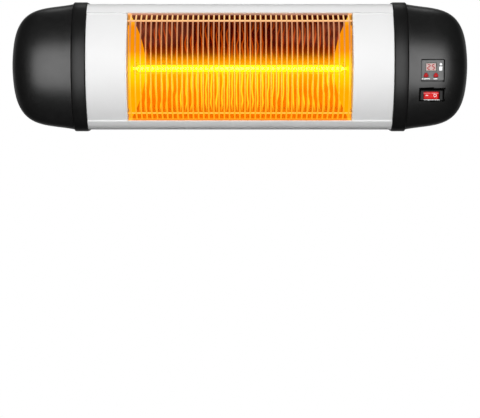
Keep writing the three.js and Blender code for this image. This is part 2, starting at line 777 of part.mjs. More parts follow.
// The circuit board behind the fascia, with its LED digit block and the two small switches
// that the keys press.
function displayBoard() {
  const board = rectangle(fasciaX, fascia.z, fascia.width + pocketWall, fascia.height + pocketWall);
  const sunk = boardFace - boardPlate / 2;
  const digits = rectangle(displayX, display.z, display.width - 2 * seat, display.height - 2 * seat);
  const switchTop = fasciaFace - fascia.thick - seat - keyFlangeThick - keyTravel - keySwitchGap;
  const switches = keyPlaces.map(([, [x, z]]) => (
    extrudeDepth(rectangle(x, z, keySwitchSize, keySwitchSize), sunk, switchTop)
  ));
  return geometryOf(joined(
    extrudeDepth(board, boardFace - boardPlate, boardFace),
    extrudeDepth(digits, sunk, fasciaFace - 2 * seat - display.thick),
    ...switches,
  ));
}

// ---------------------------------------------------------------- rocker switch

function switchHousing() {
  const under = bezelFace - bezel.thick;
  const cavityHalf = rockerEndRadius + seat;
  const mouth = rectangle(rockerX, rockerZ, 2 * cavityHalf, rockerWidth + 2 * seat);
  const cavity = extrudeDepth(mouth, rockerPivotDepth - rockerWell, bezelFace + 1);
  const body = joined(
    extrudeDepth(rectangle(rockerX, rockerZ, bezel.width, bezel.height, 1), under, bezelFace, 3),
    extrudeDepth(
      rectangle(rockerX, rockerZ, switchBody.width, switchBody.height), under - switchBody.depth, under + 1,
    ),
    ...switchTerminals(),
  );
  const reach = switchBody.height / 2 + 1;
  const trunnionHole = rodZ(
    trunnionRadius + seat, rockerZ - reach, rockerZ + reach, rockerX, toY(rockerPivotDepth), screwHoleSides,
  );
  return geometryOf(cut(body, cavity, trunnionHole));
}

// The rocker in its pressed "on" position: its ends are round about the pivot, its two faces
// meet in a shallow V, and its trunnions sit in the housing's walls.
function rocker() {
  const slope = Math.tan(radians(rockerTilt));
  const r = rockerEndRadius;
  const square = 1 + slope * slope;
  const topX = (-slope * rockerFaceHeight + Math.sqrt(r * r * square - rockerFaceHeight ** 2)) / square;
  const topAngle = Math.acos(topX / r);
  const lowAngle = radians(rockerLowAngle);
  const shape = new THREE.Shape();
  shape.moveTo(0, -rockerFaceHeight);
  shape.absarc(0, 0, r, -topAngle, lowAngle);
  shape.lineTo(r * rockerHeel, rockerFaceHeight);
  shape.lineTo(-r * rockerHeel, rockerFaceHeight);
  shape.absarc(0, 0, r, Math.PI - lowAngle, Math.PI + topAngle);
  shape.closePath();
  const reach = switchBody.height / 2 - seat;
  const pin = rodZ(trunnionRadius, -reach, reach, 0, 0, shankSides);
  const paddle = joined(extrudeZ(shape, -rockerWidth / 2, rockerWidth / 2, 5), pin);
  return geometryOf(paddle).rotateZ(-radians(rockerTilt)).translate(rockerX, toY(rockerPivotDepth), rockerZ);
}

// Blade terminals, moulded into the back of the switch.
function switchTerminals() {
  const back = bezelFace - bezel.thick - switchBody.depth;
  return [-1, 0, 1].map((place) => extrudeDepth(
    rectangle(rockerX + place * terminalPitch, rockerZ, terminalBlade.thick, terminalBlade.width),
    back - terminalBlade.length, back + 1,
  ));
}

// ---------------------------------------------------------------- power electronics

const sideRectangle = (part) => rectangle(toY(part.depth), part.height, part.across, part.tall);

function powerBoardAssembly() {
  const sunk = powerBoardX + boardPlate / 2;
  return geometryOf(joined(
    extrudeX(sideRectangle(powerBoard), powerBoardX, boardTop),
    extrudeX(sideRectangle(relay), sunk, boardTop + relay.top),
    extrudeX(sideRectangle(terminalBlock), sunk, boardTop + terminalBlock.top),
    rodX(
      capacitor.radius, sunk, boardTop + capacitor.top, toY(capacitor.depth), capacitor.height, turnedSides,
    ),
  ));
}

// The right bulkhead, with the standoffs pressed into it.
function controlBulkhead() {
  const standoffs = [-1, 1].flatMap((sd) => [-1, 1].map((sh) => rodX(
    standoffRadius, bulkheadOuterX - bulkheadPlate / 2, powerBoardX - seat,
    toY(powerBoard.depth + sd * (powerBoard.across / 2 - standoffInset)),
    powerBoard.height + sh * (powerBoard.tall / 2 - standoffInset), standoffSides,
  )));
  return geometryOf(joined(bulkhead(), ...standoffs));
}

// ---------------------------------------------------------------- reflector and lamp

const troughCurve = (grow) => {
  const line = [];
  for (let i = -troughSteps; i <= troughSteps; i += 1) {
    const share = i / troughSteps;
    line.push([
      troughDepth - grow + (troughRimDepth - troughDepth + grow) * share * share,
      share * (troughHalfHeight + grow),
    ]);
  }
  return line;
};

// The polished trough, with a flange along each edge that reaches the housing's wall.
function reflector() {
  const reach = heightAt(troughRimDepth, -(housingWall + seat));
  const back = troughCurve(reflectorPlate);
  const edge = troughRimDepth + reflectorPlate;
  const shape = shapeOf([
    ...troughCurve(0),
    [edge, troughHalfHeight], [edge, reach - seat], [troughRimDepth, reach],
    ...back.reverse(),
    [troughRimDepth, -reach], [edge, -reach + seat], [edge, -troughHalfHeight],
  ]);
  return extrudeX(shape, -openingHalf, openingHalf);
}

// A leaning plate that closes each end of the trough, with a hole for the lamp. It reaches
// forward to the panel's end wall between the guard's legs.
function reflectorEnd() {
  const rim = openingHalf - seat;
  const foot = rim - endPlateSlope;
  const top = panelWallDepth - seat;
  const plug = solid(extrudeX(shapeOf(troughCurve(-seat)), foot - endPlateSlope, rim));
  const tongue = depthBox(foot, rim, lampDepth, top, -endPlateTongue, endPlateTongue);
  const slab = new THREE.Shape([
    [foot, troughDepth], [rim, top], [rim - reflectorPlate, top], [foot - reflectorPlate, troughDepth],
  ].map(([x, d]) => new THREE.Vector2(x, toY(d))));
  const leaning = solid(extrudeZ(slab, -troughHalfHeight, troughHalfHeight));
  const hole = rodX(
    tubeRadius + endPlateHoleGap, foot - endPlateSlope, rim, toY(lampDepth), lampHeight, turnedSides,
  );
  return geometryOf(cut(leaning.intersect(plug.add(solid(tongue))), hole));
}

function quartzTube() {
  const [outer, inner] = [tubeRadius, tubeRadius - tubeWall];
  const wall = new THREE.LatheGeometry([
    new THREE.Vector2(inner, -tubeHalf), new THREE.Vector2(outer, -tubeHalf),
    new THREE.Vector2(outer, tubeHalf), new THREE.Vector2(inner, tubeHalf),
    new THREE.Vector2(inner, -tubeHalf),
  ], turnedSides);
  return wall.rotateZ(-Math.PI / 2).translate(0, toY(lampDepth), lampHeight);
}

// The carbon strip, flat to the front, with a narrow tail clamped in each end of the tube.
function carbonStrip() {
  const [wide, narrow, shoulder] = [stripWidth / 2, stripTail / 2, tubeHalf - stripTailLength];
  const outline = [
    [-tubeHalf, narrow], [-shoulder - wide, narrow], [-shoulder, wide],
    [shoulder, wide], [shoulder + wide, narrow], [tubeHalf, narrow],
  ];
  const points = [...outline, ...outline.map(([x, h]) => [x, -h]).reverse()];
  const shape = new THREE.Shape(points.reverse().map(([x, h]) => new THREE.Vector2(x, lampHeight + h)));
  return extrudeDepth(shape, lampDepth - stripThickness / 2, lampDepth + stripThickness / 2);
}

function ceramicEnd() {
  const floor = tubeHalf + seat;
  const start = floor - ceramicSocket;
  const at = [toY(lampDepth), lampHeight];
  const plug = solid(rodX(ceramicRadius, start, start + ceramicLength, ...at, turnedSides));
  return geometryOf(cut(plug, rodX(tubeRadius + seat, start - 1, floor, ...at, turnedSides)));
}

// A bent plate that stands on the housing's back and holds the ceramic.
function lampBracket() {
  const [back, top] = [housingWall + seat, lampDepth + ceramicRadius + lampBracketRim];
  const upright = withHoles(
    rectangle(toY((back + top) / 2), 0, top - back, 2 * lampBracketHalf),
    circle(toY(lampDepth), lampHeight, ceramicRadius + seat),
  );
  const foot = depthBox(
    lampBracketX, lampBracketX + lampBracketFoot,
    back, back + lampBracketPlate, -lampBracketHalf, lampBracketHalf,
  );
  const plate = joined(extrudeX(upright, lampBracketX, lampBracketX + lampBracketPlate, 8), foot);
  const hole = rodDepth(
    screwRadius + seat, back - 1, back + lampBracketPlate + 1, lampScrewX, 0, screwHoleSides,
  );
  return geometryOf(cut(plate, hole));
}

function lampBracketScrew() {
  const top = screwHeadRadius * screwHeadTaper;
  return geometryOf(joined(
    rodDepth(screwRadius, -seat, housingWall + lampBracketPlate + screwBite, lampScrewX, 0, shankSides),
    rodDepth(top, -seat - screwHeadHeight, -seat, lampScrewX, 0, headSides, screwHeadRadius),
  ));
}

// The over-temperature cut-out, clipped to the back of the trough.
function thermalCutout() {
  const face = troughDepth - reflectorPlate - seat;
  return geometryOf(joined(
    rodDepth(cutoutRadius, face - cutoutBaseThick, face, cutoutX, 0, boltSides),
    rodDepth(cutoutCapRadius, face - cutoutDepth, face - cutoutBaseThick / 2, cutoutX, 0, boltSides),
  ));
}

// An insulated wire along a smooth route of [x, depth, height] points.
function wire(points, radius, steps) {
  const route = new THREE.CatmullRomCurve3(points.map(([x, d, h]) => new THREE.Vector3(x, toY(d), h)));
  const sectionShape = new THREE.Shape(Array.from({ length: leadSides }, (_, i) => {
    const a = (2 * Math.PI * i) / leadSides;
    return new THREE.Vector2(radius * Math.cos(a), radius * Math.sin(a));
  }));
  return new THREE.ExtrudeGeometry(sectionShape, { extrudePath: route, steps, bevelEnabled: false });
}

// The leads' common end: through the right bulkhead, round and into the terminal block.
function leadTail(side) {
  const height = leadEntry.height + (side * leadEntry.apart) / 2;
  const end = terminalBlock.height + side * leadEntry.apart;
  const rise = end - height;
  return [
    [bulkheadOuterX + leadLoop, leadEntry.depth - leadRadius, height],
    [boardTop + leadLoop / 2, leadEntry.depth, height + rise * leadRises[0]],
    [terminalFace + leadLoop / 2, terminalBlock.depth - leadLoop, height + rise * leadRises[1]],
    [terminalFace + leadLoop, terminalBlock.depth - leadLoop / 2, height + rise * leadRises[2]],
    [terminalFace + leadLoop / 2, terminalBlock.depth, end],
    [terminalFace, terminalBlock.depth, end],
  ];
}

// Lamp leads: from each end of the lamp, through the right bulkhead, to the terminal block.
function rightLead() {
  const drop = lampDepth - leadEntry.depth;
  const [early, late] = leadDrops.right;
  return wire([
    [ceramicBack, lampDepth, lampHeight], [ceramicBack + leadBend, lampDepth, lampHeight],
    [ceramicBack + 2 * leadBend, lampDepth - drop * early, lampHeight],
    [ceramicBack + 4 * leadBend, leadEntry.depth + drop * late, leadEntry.height],
    ...leadTail(1),
  ], leadRadius, leadSteps.right);
}

function leftLead() {
  const drop = lampDepth - leadRun.depth;
  const [early, late] = leadDrops.left;
  const run = [-2 / 3, 0, 2 / 3].map((share) => [share * tubeHalf, leadRun.depth, leadRun.height]);
  return wire([
    [-ceramicBack, lampDepth, lampHeight], [-ceramicBack - leadBend, lampDepth, lampHeight],
    [-ceramicBack - 2 * leadBend, lampDepth - drop * early, lampHeight],
    [-ceramicBack - leadBend, leadRun.depth + drop * late, leadRun.height],
    ...run, [ceramicBack + leadBend, leadRun.depth, leadRun.height],
    ...leadTail(-1),
  ], leadRadius, leadSteps.left);
}

// ---------------------------------------------------------------- wire guard

const guardRadius = bowRadius - guardInset;
const bowAt = (h) => [bodyDepth - bowRadius + Math.sqrt(guardRadius * guardRadius - h * h), h];
const guardBend = new THREE.Vector2(...bowAt(guardBendHeight));
const guardLegEnd = new THREE.Vector2(
  troughRimDepth + reflectorPlate + seat + wireRadius / 2, troughHalfHeight,
);

// The rail's centre, behind a point of the upper leg.
function railCentre() {
  const lift = wireRadius + railRadius - weldDepth;
  const along = guardLegEnd.clone().sub(guardBend).normalize();
  const point = guardBend.clone().lerp(guardLegEnd, guardRailShare);
  return [point.x - along.y * lift, point.y + along.x * lift];
}

// The centre line of one guard wire: leg, bend, bow, bend, leg, as [depth, height].
function guardLine() {
  const flatTop = guardBendHeight - guardBendRadius;
  const before = new THREE.Vector2(...bowAt(flatTop));
  const after = guardLegEnd.clone().sub(guardBend).setLength(guardBendRadius).add(guardBend);
  const bend = new THREE.QuadraticBezierCurve(after, guardBend, before).getPoints(guardBendSteps);
  const upperHalf = [guardLegEnd, ...bend].map((p) => p.toArray());
  const bow = [];
  for (let i = 1; i < guardArcSteps; i += 1) bow.push(bowAt(flatTop - (2 * flatTop * i) / guardArcSteps));
  return [...upperHalf, ...bow, ...upperHalf.map(([d, h]) => [d, -h]).reverse()];
}

function guardWire(line, x) {
  const rings = line.map((point, i) => {
    const before = line[Math.max(i - 1, 0)];
    const after = line[Math.min(i + 1, line.length - 1)];
    const along = new THREE.Vector2(after[0] - before[0], after[1] - before[1]).normalize();
    return Array.from({ length: guardSides }, (_, k) => {
      const a = (2 * Math.PI * k) / guardSides;
      const out = wireRadius * Math.cos(a);
      return new THREE.Vector3(
        x + wireRadius * Math.sin(a), toY(point[0] + along.y * out), point[1] - along.x * out,
      );
    });
  });
  return loft(rings);
}

// The welded guard: bowed wires on two rails behind their legs. The legs end on the trough's rim.
function guard() {
  const line = guardLine();
  const first = (-guardPitch * (guardWires - 1)) / 2;
  const wires = Array.from({ length: guardWires }, (_, i) => guardWire(line, first + i * guardPitch));
  const half = openingHalf + guardRailEnd;
  const [depth, height] = railCentre();
  const rails = [-1, 1].map((s) => rodX(railRadius, -half, half, toY(depth), s * height, railSides));
  return geometryOf(wasm.Manifold.union([...wires, ...rails].map(solid)));
}

// ---------------------------------------------------------------- wall bracket, yoke and hardware

// A U-shaped strip seen from above: its web lies across X at webY, its arms run to armY.
function channelPlan(half, webY, armY) {
  const inward = Math.sign(armY - webY);
  const [t, r] = [bracketPlate, bendRadius];
  const shape = new THREE.Shape();
  shape.moveTo(-half, armY);
  shape.lineTo(-half, webY + inward * r);
  shape.quadraticCurveTo(-half, webY, -half + r, webY);
  shape.lineTo(half - r, webY);
  shape.quadraticCurveTo(half, webY, half, webY + inward * r);
  shape.lineTo(half, armY);
  shape.lineTo(half - t, armY);
  shape.lineTo(half - t, webY + inward * r);
  shape.quadraticCurveTo(half - t, webY + inward * t, half - r, webY + inward * t);
  shape.lineTo(-half + r, webY + inward * t);
  shape.quadraticCurveTo(-half + t, webY + inward * t, -half + t, webY + inward * r);
  shape.lineTo(-half + t, armY);
  shape.closePath();
  return shape;
}

// Side view of the wall bracket: a sector with the arc slot over the pivot lobe.
function wallEar() {
  const shape = new THREE.Shape();
  shape.moveTo(0, -wallPlateHalf);
  shape.lineTo(0, wallPlateHalf);
  shape.absarc(
    pivotY, 0, sectorRadius, radians(tiltStart - sectorBeyond), radians(tiltStart + tiltRange + sectorBeyond),
  );
  shape.absarc(pivotY, 0, pivotLobe, ...pivotLobeArc.map(radians));
  shape.lineTo(-bracketPlate, -wallPlateHalf);
  shape.closePath();
  const slot = new THREE.Path();
  const half = boltRadius + boltClearance;
  const [a0, a1] = [radians(tiltStart), radians(tiltStart + tiltRange)];
  const centre = (a) => [pivotY + slotArcRadius * Math.cos(a), slotArcRadius * Math.sin(a)];
  slot.absarc(pivotY, 0, slotArcRadius + half, a0, a1);
  slot.absarc(...centre(a1), half, a1, a1 + Math.PI);
  slot.absarc(pivotY, 0, slotArcRadius - half, a1, a0, true);
  slot.absarc(...centre(a0), half, a0 + Math.PI, a0 + 2 * Math.PI);
  slot.closePath();
  return withHoles(shape, slot, circle(pivotY, 0, half));
}

function wallBracket() {
  const strip = solid(extrudeZ(
    channelPlan(earOuter, 0, -2 * pivotReach), -2 * wallPlateHalf, 2 * wallPlateHalf, bendSteps,
  ));
  const side = solid(extrudeX(wallEar(), -earOuter - 1, earOuter + 1, 4));
  const holes = [-1, 1].flatMap((sx) => [-1, 1].map((sz) => new THREE.CylinderGeometry(
    wallHoleRadius, wallHoleRadius, 3 * bracketPlate, boreSides,
  ).translate(sx * wallHoleX, -bracketPlate / 2, sz * wallHoleZ)));
  return geometryOf(cut(strip.intersect(side), ...holes));
}

// Side view of the yoke: its web on the heater's back, lobes round the pivot and the stud.
function yokeEar() {
  const web = toY(-seat);
  const shape = new THREE.Shape();
  shape.moveTo(web, yokeHalfHeight);
  shape.lineTo(web, -yokeHalfHeight);
  shape.lineTo(web + bracketPlate, -yokeHalfHeight);
  shape.absarc(pivotY, 0, pivotLobe - yokeLobeInset, ...yokePivotArc.map(radians));
  shape.absarc(studY, studZ, studLobe, ...yokeStudArc.map(radians));
  shape.lineTo(web + bracketPlate, yokeHalfHeight);
  shape.closePath();
  return shape;
}

// The yoke, with hex nuts welded inside its ears at the pivot and at the stud.
function yoke() {
  const strip = solid(extrudeZ(
    channelPlan(yokeHalf, toY(-seat), 0), -2 * yokeHalfHeight, 2 * yokeHalfHeight, bendSteps,
  ));
  const side = solid(extrudeX(yokeEar(), -yokeHalf - 1, yokeHalf + 1, 3));
  const nutPlaces = [[pivotY, 0], [studY, studZ]];
  const nuts = nutPlaces.map(([y, z]) => (
    rodX(nutRadius, nutInnerX, yokeEarInner + weldDepth, y, z, hexSides)
  ));
  const bores = nutPlaces.map(([y, z]) => (
    rodX(boltRadius + seat, nutInnerX - 1, yokeHalf + 1, y, z, boreSides)
  ));
  const screwHoles = yokeScrewPlaces.map(([x, z]) => rodDepth(
    yokeScrewRadius + seat, -3 * bracketPlate, 1, x, z, screwHoleSides,
  ));
  const plate = strip.intersect(side);
  const welded = nuts.flatMap((nut) => [nut, mirrored(nut)]).reduce((sum, nut) => sum.add(solid(nut)), plate);
  return geometryOf(cut(welded, ...bores, ...bores.map(mirrored), ...screwHoles));
}

function yokeScrew([x, z]) {
  const under = -seat - bracketPlate - seat;
  return geometryOf(joined(
    rodDepth(yokeScrewRadius, under, slotLip + slotCavity - seat, x, z, shankSides),
    rodDepth(yokeScrewHead.top, under - yokeScrewHead.height, under, x, z, headSides, yokeScrewHead.radius),
  ));
}

// A bar in each T slot, tapped for two of the yoke's screws.
function nutBar(side) {
  const z = side * slotHeight;
  const holes = [-1, 1].map((s) => circle(s * yokeScrewX, z, yokeScrewRadius + seat));
  const bar = rectangle(0, z, 2 * (yokeScrewX + slotWidth), slotWidth - 2 * seat);
  const [back, front] = [slotLip + seat, slotLip + slotCavity - seat];
  return extrudeDepth(withHoles(bar, ...holes), back, front, screwHoleSides / 2);
}

const pivotBolt = () => geometryOf(joined(
  rodX(boltRadius, boltTail, earOuter + seat, pivotY, 0, boltSides),
  rodX(nutRadius, earOuter + seat, earOuter + seat + nutThick, pivotY, 0, hexSides),
));

function clampWasher() {
  const ring = withHoles(circle(studY, studZ, washerRadius), circle(studY, studZ, boltRadius + seat));
  return extrudeX(ring, washerX, washerX + washerThick, 5);
}

// A lobed hand knob with a hub, bored for its stud.
function knob() {
  const outline = new THREE.Shape(Array.from({ length: knobSides }, (_, i) => {
    const a = (2 * Math.PI * i) / knobSides;
    const r = knobRadius - knobLobeHeight + knobLobeHeight * Math.cos(knobLobes * a);
    return new THREE.Vector2(studY + r * Math.cos(a), studZ + r * Math.sin(a));
  }));
  const head = new THREE.ExtrudeGeometry(outline, {
    depth: knobHeadLength - 2 * knobBevel,
    bevelThickness: knobBevel,
    bevelSize: knobBevel,
    bevelOffset: -knobBevel,
    bevelSegments: 1,
  }).applyMatrix4(new THREE.Matrix4().makeBasis(axisY, axisZ, axisX));
  head.translate(knobX + knobHubLength + knobBevel, 0, 0);
  const hub = rodX(knobHubRadius, knobX, knobX + knobHubLength + 2 * knobBevel, studY, studZ, boltSides);
  const bore = rodX(boltRadius + seat, knobX - 1, studTop + seat, studY, studZ, boreSides);
  return geometryOf(cut(joined(head, hub), bore));
}

const knobStud = () => rodX(boltRadius, boltTail, studTop, studY, studZ, boltSides);

// ---------------------------------------------------------------- materials and assembly

function material(color, roughness, metalness) {
  return new THREE.MeshStandardMaterial({ color, roughness, metalness });
}

const white = material(0xf0f0f0, 0.35, 0.1);
const blackPlastic = material(0x1a1a1a, 0.42, 0);
const blackSteel = material(0x202022, 0.5, 0.6);
const polished = material(0xf2c27a, 0.12, 1);
const glass = material(0xffd54a, 0.05, 0);
const glowing = material(0xffdd33, 0.4, 0);
const ceramic = material(0xe8e2d4, 0.7, 0);
const zinc = material(0xb8bcc0, 0.35, 1);
const guardSteel = material(0xf0b060, 0.3, 1);
const greyPlastic = material(0x7e7e7e, 0.4, 0);
const smoke = material(0x5a4a4a, 0.15, 0);
const red = material(0xd01818, 0.25, 0);
const circuitGreen = material(0x1f6a3a, 0.6, 0);
const insulation = material(0xe9e4da, 0.6, 0);

const heater = new THREE.Group();

function add(name, geometry, finish) {
  const mesh = new THREE.Mesh(geometry, finish);
  mesh.name = name;
  heater.add(mesh);
}

// Adds a piece made for the +X end and its mirror image.
function addPair(name, geometry, finish) {
  add(`${name}_right`, geometry, finish);
  add(`${name}_left`, mirrored(geometry), finish);
}

add('wall_bracket', wallBracket(), blackSteel);
add('tilt_yoke', yoke(), blackSteel);
yokeScrewPlaces.forEach((place, i) => add(`yoke_screw_${i + 1}`, yokeScrew(place), zinc));
addPair('pivot_bolt', pivotBolt(), zinc);
addPair('clamp_washer', clampWasher(), zinc);
addPair('clamp_knob', knob(), blackPlastic);
addPair('clamp_stud', knobStud(), zinc);

add('housing', housing(), white);
addPair('front_panel', frontPanel(), white);
add('bulkhead_right', controlBulkhead(), zinc);
add('bulkhead_left', mirrored(bulkhead()), zinc);
addPair('collar', collar(), blackPlastic);
add('end_cap_right', controlCap(), blackPlastic);
add('end_cap_left', mirrored(geometryOf(plainCap())), blackPlastic);
for (const [level, side] of [['upper', 1], ['lower', -1]]) {
  add(`nut_bar_${level}`, nutBar(side), zinc);
  addPair(`bulkhead_screw_${level}`, bulkheadScrew(side), zinc);
  addPair(`cap_screw_${level}`, capScrew(side), zinc);
}

add('reflector', reflector(), polished);
addPair('reflector_end', reflectorEnd(), polished);
add('quartz_tube', quartzTube(), glass);
add('carbon_strip', carbonStrip(), glowing);
addPair('ceramic_end', ceramicEnd(), ceramic);
addPair('lamp_bracket', lampBracket(), zinc);
addPair('lamp_bracket_screw', lampBracketScrew(), zinc);
add('thermal_cutout', thermalCutout(), ceramic);
add('wire_guard', guard(), guardSteel);

add('control_fascia', controlFascia(), greyPlastic);
add('display_window', displayWindow(), smoke);
add('display_board', displayBoard(), circuitGreen);
for (const [name, centre] of keyPlaces) add(name, pushKey(centre), red);

add('switch_housing', switchHousing(), blackPlastic);
add('rocker', rocker(), red);
add('power_board', powerBoardAssembly(), circuitGreen);
add('lamp_lead_right', rightLead(), insulation);
add('lamp_lead_left', leftLead(), insulation);
add('cable_gland', cableGland(), blackPlastic);
add('gland_locknut', glandLocknut(), blackPlastic);

export default heater;
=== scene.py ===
"""The looks of the wall-mounted electric bar heater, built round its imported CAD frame.

Lengths are millimetres until a mesh is made, and the frame is the CAD's: X along the heater, the wall at
Y = 0 with the heater in front of it, Z up. A point of the heater's cross-section is (depth, height), with
depth measured forward from the back of the housing. Pieces for both ends are made at +X and mirrored.
"""

import json
import math
from types import SimpleNamespace

import bmesh
import bpy
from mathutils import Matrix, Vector


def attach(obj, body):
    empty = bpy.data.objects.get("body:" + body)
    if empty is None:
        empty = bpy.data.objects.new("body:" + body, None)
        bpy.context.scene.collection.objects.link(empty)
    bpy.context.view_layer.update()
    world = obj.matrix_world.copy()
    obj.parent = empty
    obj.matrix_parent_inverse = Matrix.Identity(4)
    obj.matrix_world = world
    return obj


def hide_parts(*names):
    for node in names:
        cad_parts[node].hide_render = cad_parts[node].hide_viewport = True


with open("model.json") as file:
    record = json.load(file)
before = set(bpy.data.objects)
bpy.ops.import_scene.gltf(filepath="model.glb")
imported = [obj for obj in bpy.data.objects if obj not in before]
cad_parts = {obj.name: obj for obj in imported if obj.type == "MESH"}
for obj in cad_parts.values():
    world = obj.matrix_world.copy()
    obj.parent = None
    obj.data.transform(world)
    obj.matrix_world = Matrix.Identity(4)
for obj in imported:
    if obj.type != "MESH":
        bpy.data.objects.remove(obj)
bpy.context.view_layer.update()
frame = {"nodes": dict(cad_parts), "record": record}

MM = 0.001
seat = 0.3  # gap between pieces that touch
over = 1  # how far a cutting tool reaches beyond what it cuts

# ---------------------------------------------------------------- dimensions of the CAD model

opening_half = 151.5
panel_width = 54.7
collar_width = 19.3
dome_length = 84.5
body_depth = 112
half_height = 85.3
bow_radius = 114
step_height = 73.2
crown_depth = 58
back_half_height = 70
lip_pull = 11
crown_pull = 15
rear_pull = 50
housing_wall = 1.8
panel_wall = 1.5
cap_wall = 2.4
bracket_plate = 2.5
reflector_plate = 1
slot_height = 30
slot_mouth = 6.5
slot_width = 11
slot_cavity = 4
slot_lip = 2
collar_proud = 2.4
collar_chamfer = 1.2
collar_flange = 2.4
collar_flange_drop = 4
bulkhead_plate = 1.5
dome_centre_depth = 56
dome_shoulder = (44.7, 0.897)
dome_nose = 1.037
cap_screw_height = 42
well_radius = 6
well_bore = 4.4
well_floor = 3
screw_head_radius = 3.8
screw_head_height = 2.6
screw_radius = 1.9
screw_bite = 6
trough_depth = 28
trough_rim_depth = 70
trough_half_height = 69.5
end_plate_slope = 20
end_plate_tongue = 56
end_plate_hole_gap = 1.5
panel_wall_depth = 78
panel_edge_depth = 78.5
lamp_depth = 57
lamp_height = -2
tube_radius = 7.5
tube_wall = 1.2
tube_half = 151.5
strip_width = 8
strip_thickness = 0.8
strip_tail = 3
strip_tail_length = 14
lamp_screw_x = 169.75
lamp_bracket_plate = 1.5
guard_wires = 43
guard_pitch = 7
wire_radius = 1
rail_radius = 1.25
weld_depth = 0.35
guard_inset = 4
guard_bend_height = 60
guard_bend_radius = 5
guard_rail_share = 0.39
guard_rail_end = 3.5
fascia = SimpleNamespace(x=257.9, z=-4.2, width=31.8, height=29.7, face=104.2, thick=2, corner=2.4)
fascia_gap = 1
pocket_wall = 2
pocket_floor = 2
pocket_ledge = 3.2
board_plate = 1.6
display = SimpleNamespace(x=256.1, z=0.2, width=13.8, height=10.2, thick=1.4)
key_centres = {"power_button": (249.3, -11), "timer_button": (262.4, -11)}
key_switch_size = 5.2
key_switch_gap = 0.1
key_travel = 0.7
key_radius = 3.2
key_corner = 1.9
key_proud = 1
key_flange = 0.8
key_flange_thick = 0.7
rocker_x = 257.8
rocker_z = -38
switch_pocket = SimpleNamespace(x=rocker_x, z=rocker_z + 1.3, width=33.4, height=17.4, corner=1.2)
bezel = SimpleNamespace(x=rocker_x, z=rocker_z, width=30, height=13.4, thick=1.8, face=96.5)
switch_body = SimpleNamespace(x=rocker_x, z=rocker_z, width=26, height=12.4, depth=20)
blade_pitch = 8
blade_thick = 0.8
blade_width = 4.8
blade_length = 8
rocker_width = 9.8
rocker_end_radius = 10.7
rocker_face_height = 4.2
rocker_tilt = 10
rocker_sunk = 0.5
rocker_well = 6
rocker_low_angle = 14
rocker_heel = 0.55  # half width of its flat inner side, as a share of the end radius
trunnion_radius = 1.1
gland_at = (252, -30)  # (X, Z)
gland_pad_radius = 13
gland_pad_depth = 1
gland_pad_inner = 8
gland_thread_radius = 7.6
gland_hex_radius = 11
gland_hex_thick = 5
gland_cap_radius = 9
gland_cap_length = 11
gland_nose_length = 3
gland_bore = 4.2
gland_nut_thick = 4.5
gland_thread_beyond = 3
body_standoff = 78
pivot_reach = 46
tilt_range = 45
ear_inner = 65
wall_plate_half = 28
bend_radius = 4
wall_hole_x = 42
wall_hole_z = 17
wall_hole_radius = 3.5
slot_arc_radius = 27
sector_radius = 36
sector_beyond = 12
pivot_lobe = 14
pivot_lobe_arc = (170, 260)
stud_lobe = 9.5
yoke_pivot_lobe = 13
yoke_pivot_arc = (-80, 0)  # degrees from +Y
yoke_stud_arc = (-20, 100)
bolt_beyond = 2  # threads stand out beyond their nuts
bolt_radius = 3
bolt_clearance = 0.45
yoke_half_height = 38
yoke_screw_x = 45
yoke_screw_radius = 2.4
yoke_screw_head = 4.4
yoke_screw_height = 3.2
nut_radius = 5.6
nut_thick = 3.6
washer_radius = 8
washer_thick = 1.5
knob_radius = 15
knob_lobes = 6
knob_lobe_height = 1.7
knob_hub_radius = 8
knob_hub_length = 5
knob_head_length = 13
knob_crown = 6

collar_inner_x = opening_half + panel_width
collar_outer_x = collar_inner_x + collar_width
dome_base_x = collar_outer_x + seat
dome_tip_x = collar_outer_x + dome_length
bulkhead_outer_x = collar_outer_x - collar_flange - seat
housing_half = bulkhead_outer_x - bulkhead_plate - seat
panel_outer_face = -(housing_wall + seat)
panel_inner_face = panel_outer_face - panel_wall
bow_centre = body_depth - bow_radius
pivot_at = (-pivot_reach, 0)  # (Y, Z), as the stud's
ear_outer = ear_inner + bracket_plate
yoke_half = ear_inner - seat
yoke_ear_inner = yoke_half - bracket_plate
nut_inner_x = yoke_ear_inner - nut_thick
bolt_tail = nut_inner_x - bolt_beyond
washer_x = ear_outer + seat
knob_x = washer_x + washer_thick + seat
stud_top = knob_x + knob_hub_length + knob_head_length - knob_crown
tilt_start = 90 - tilt_range / 2
stud_angle = math.radians(tilt_start)
stud_at = (-pivot_reach + slot_arc_radius * math.cos(stud_angle), slot_arc_radius * math.sin(stud_angle))
yoke_screw_places = [(x, z) for x in (-yoke_screw_x, yoke_screw_x) for z in (-slot_height, slot_height)]
fascia_back = fascia.face - fascia.thick - seat
board_face = fascia.face - fascia.thick - pocket_floor - 2 * seat
digit_face = fascia.face - 2 * seat - display.thick
rocker_pivot_depth = bezel.face - rocker_sunk - rocker_face_height * math.cos(math.radians(rocker_tilt))

# ---------------------------------------------------------------- details of the visual meshes

bow_steps = 36
lip_steps = 12
rear_steps = 30
dome_steps = 56
trough_steps = 40
bend_steps = 8
corner_steps = 6
lobe_steps = 24
round_sides = 48
small_sides = 32
rail_sides = 16
wire_sides = 10
sharp_edge = 35  # degrees between faces, from which an edge isn't shaded smooth

panel_corner = 1.1  # of the rounded end at the opening
collar_soft = 0.35
end_soft = 0.4  # of the rails' and the tube's ends
strip_teeth = 136
strip_notch = 0.25
plunger_radius = 1.6
label_thick = 0.06

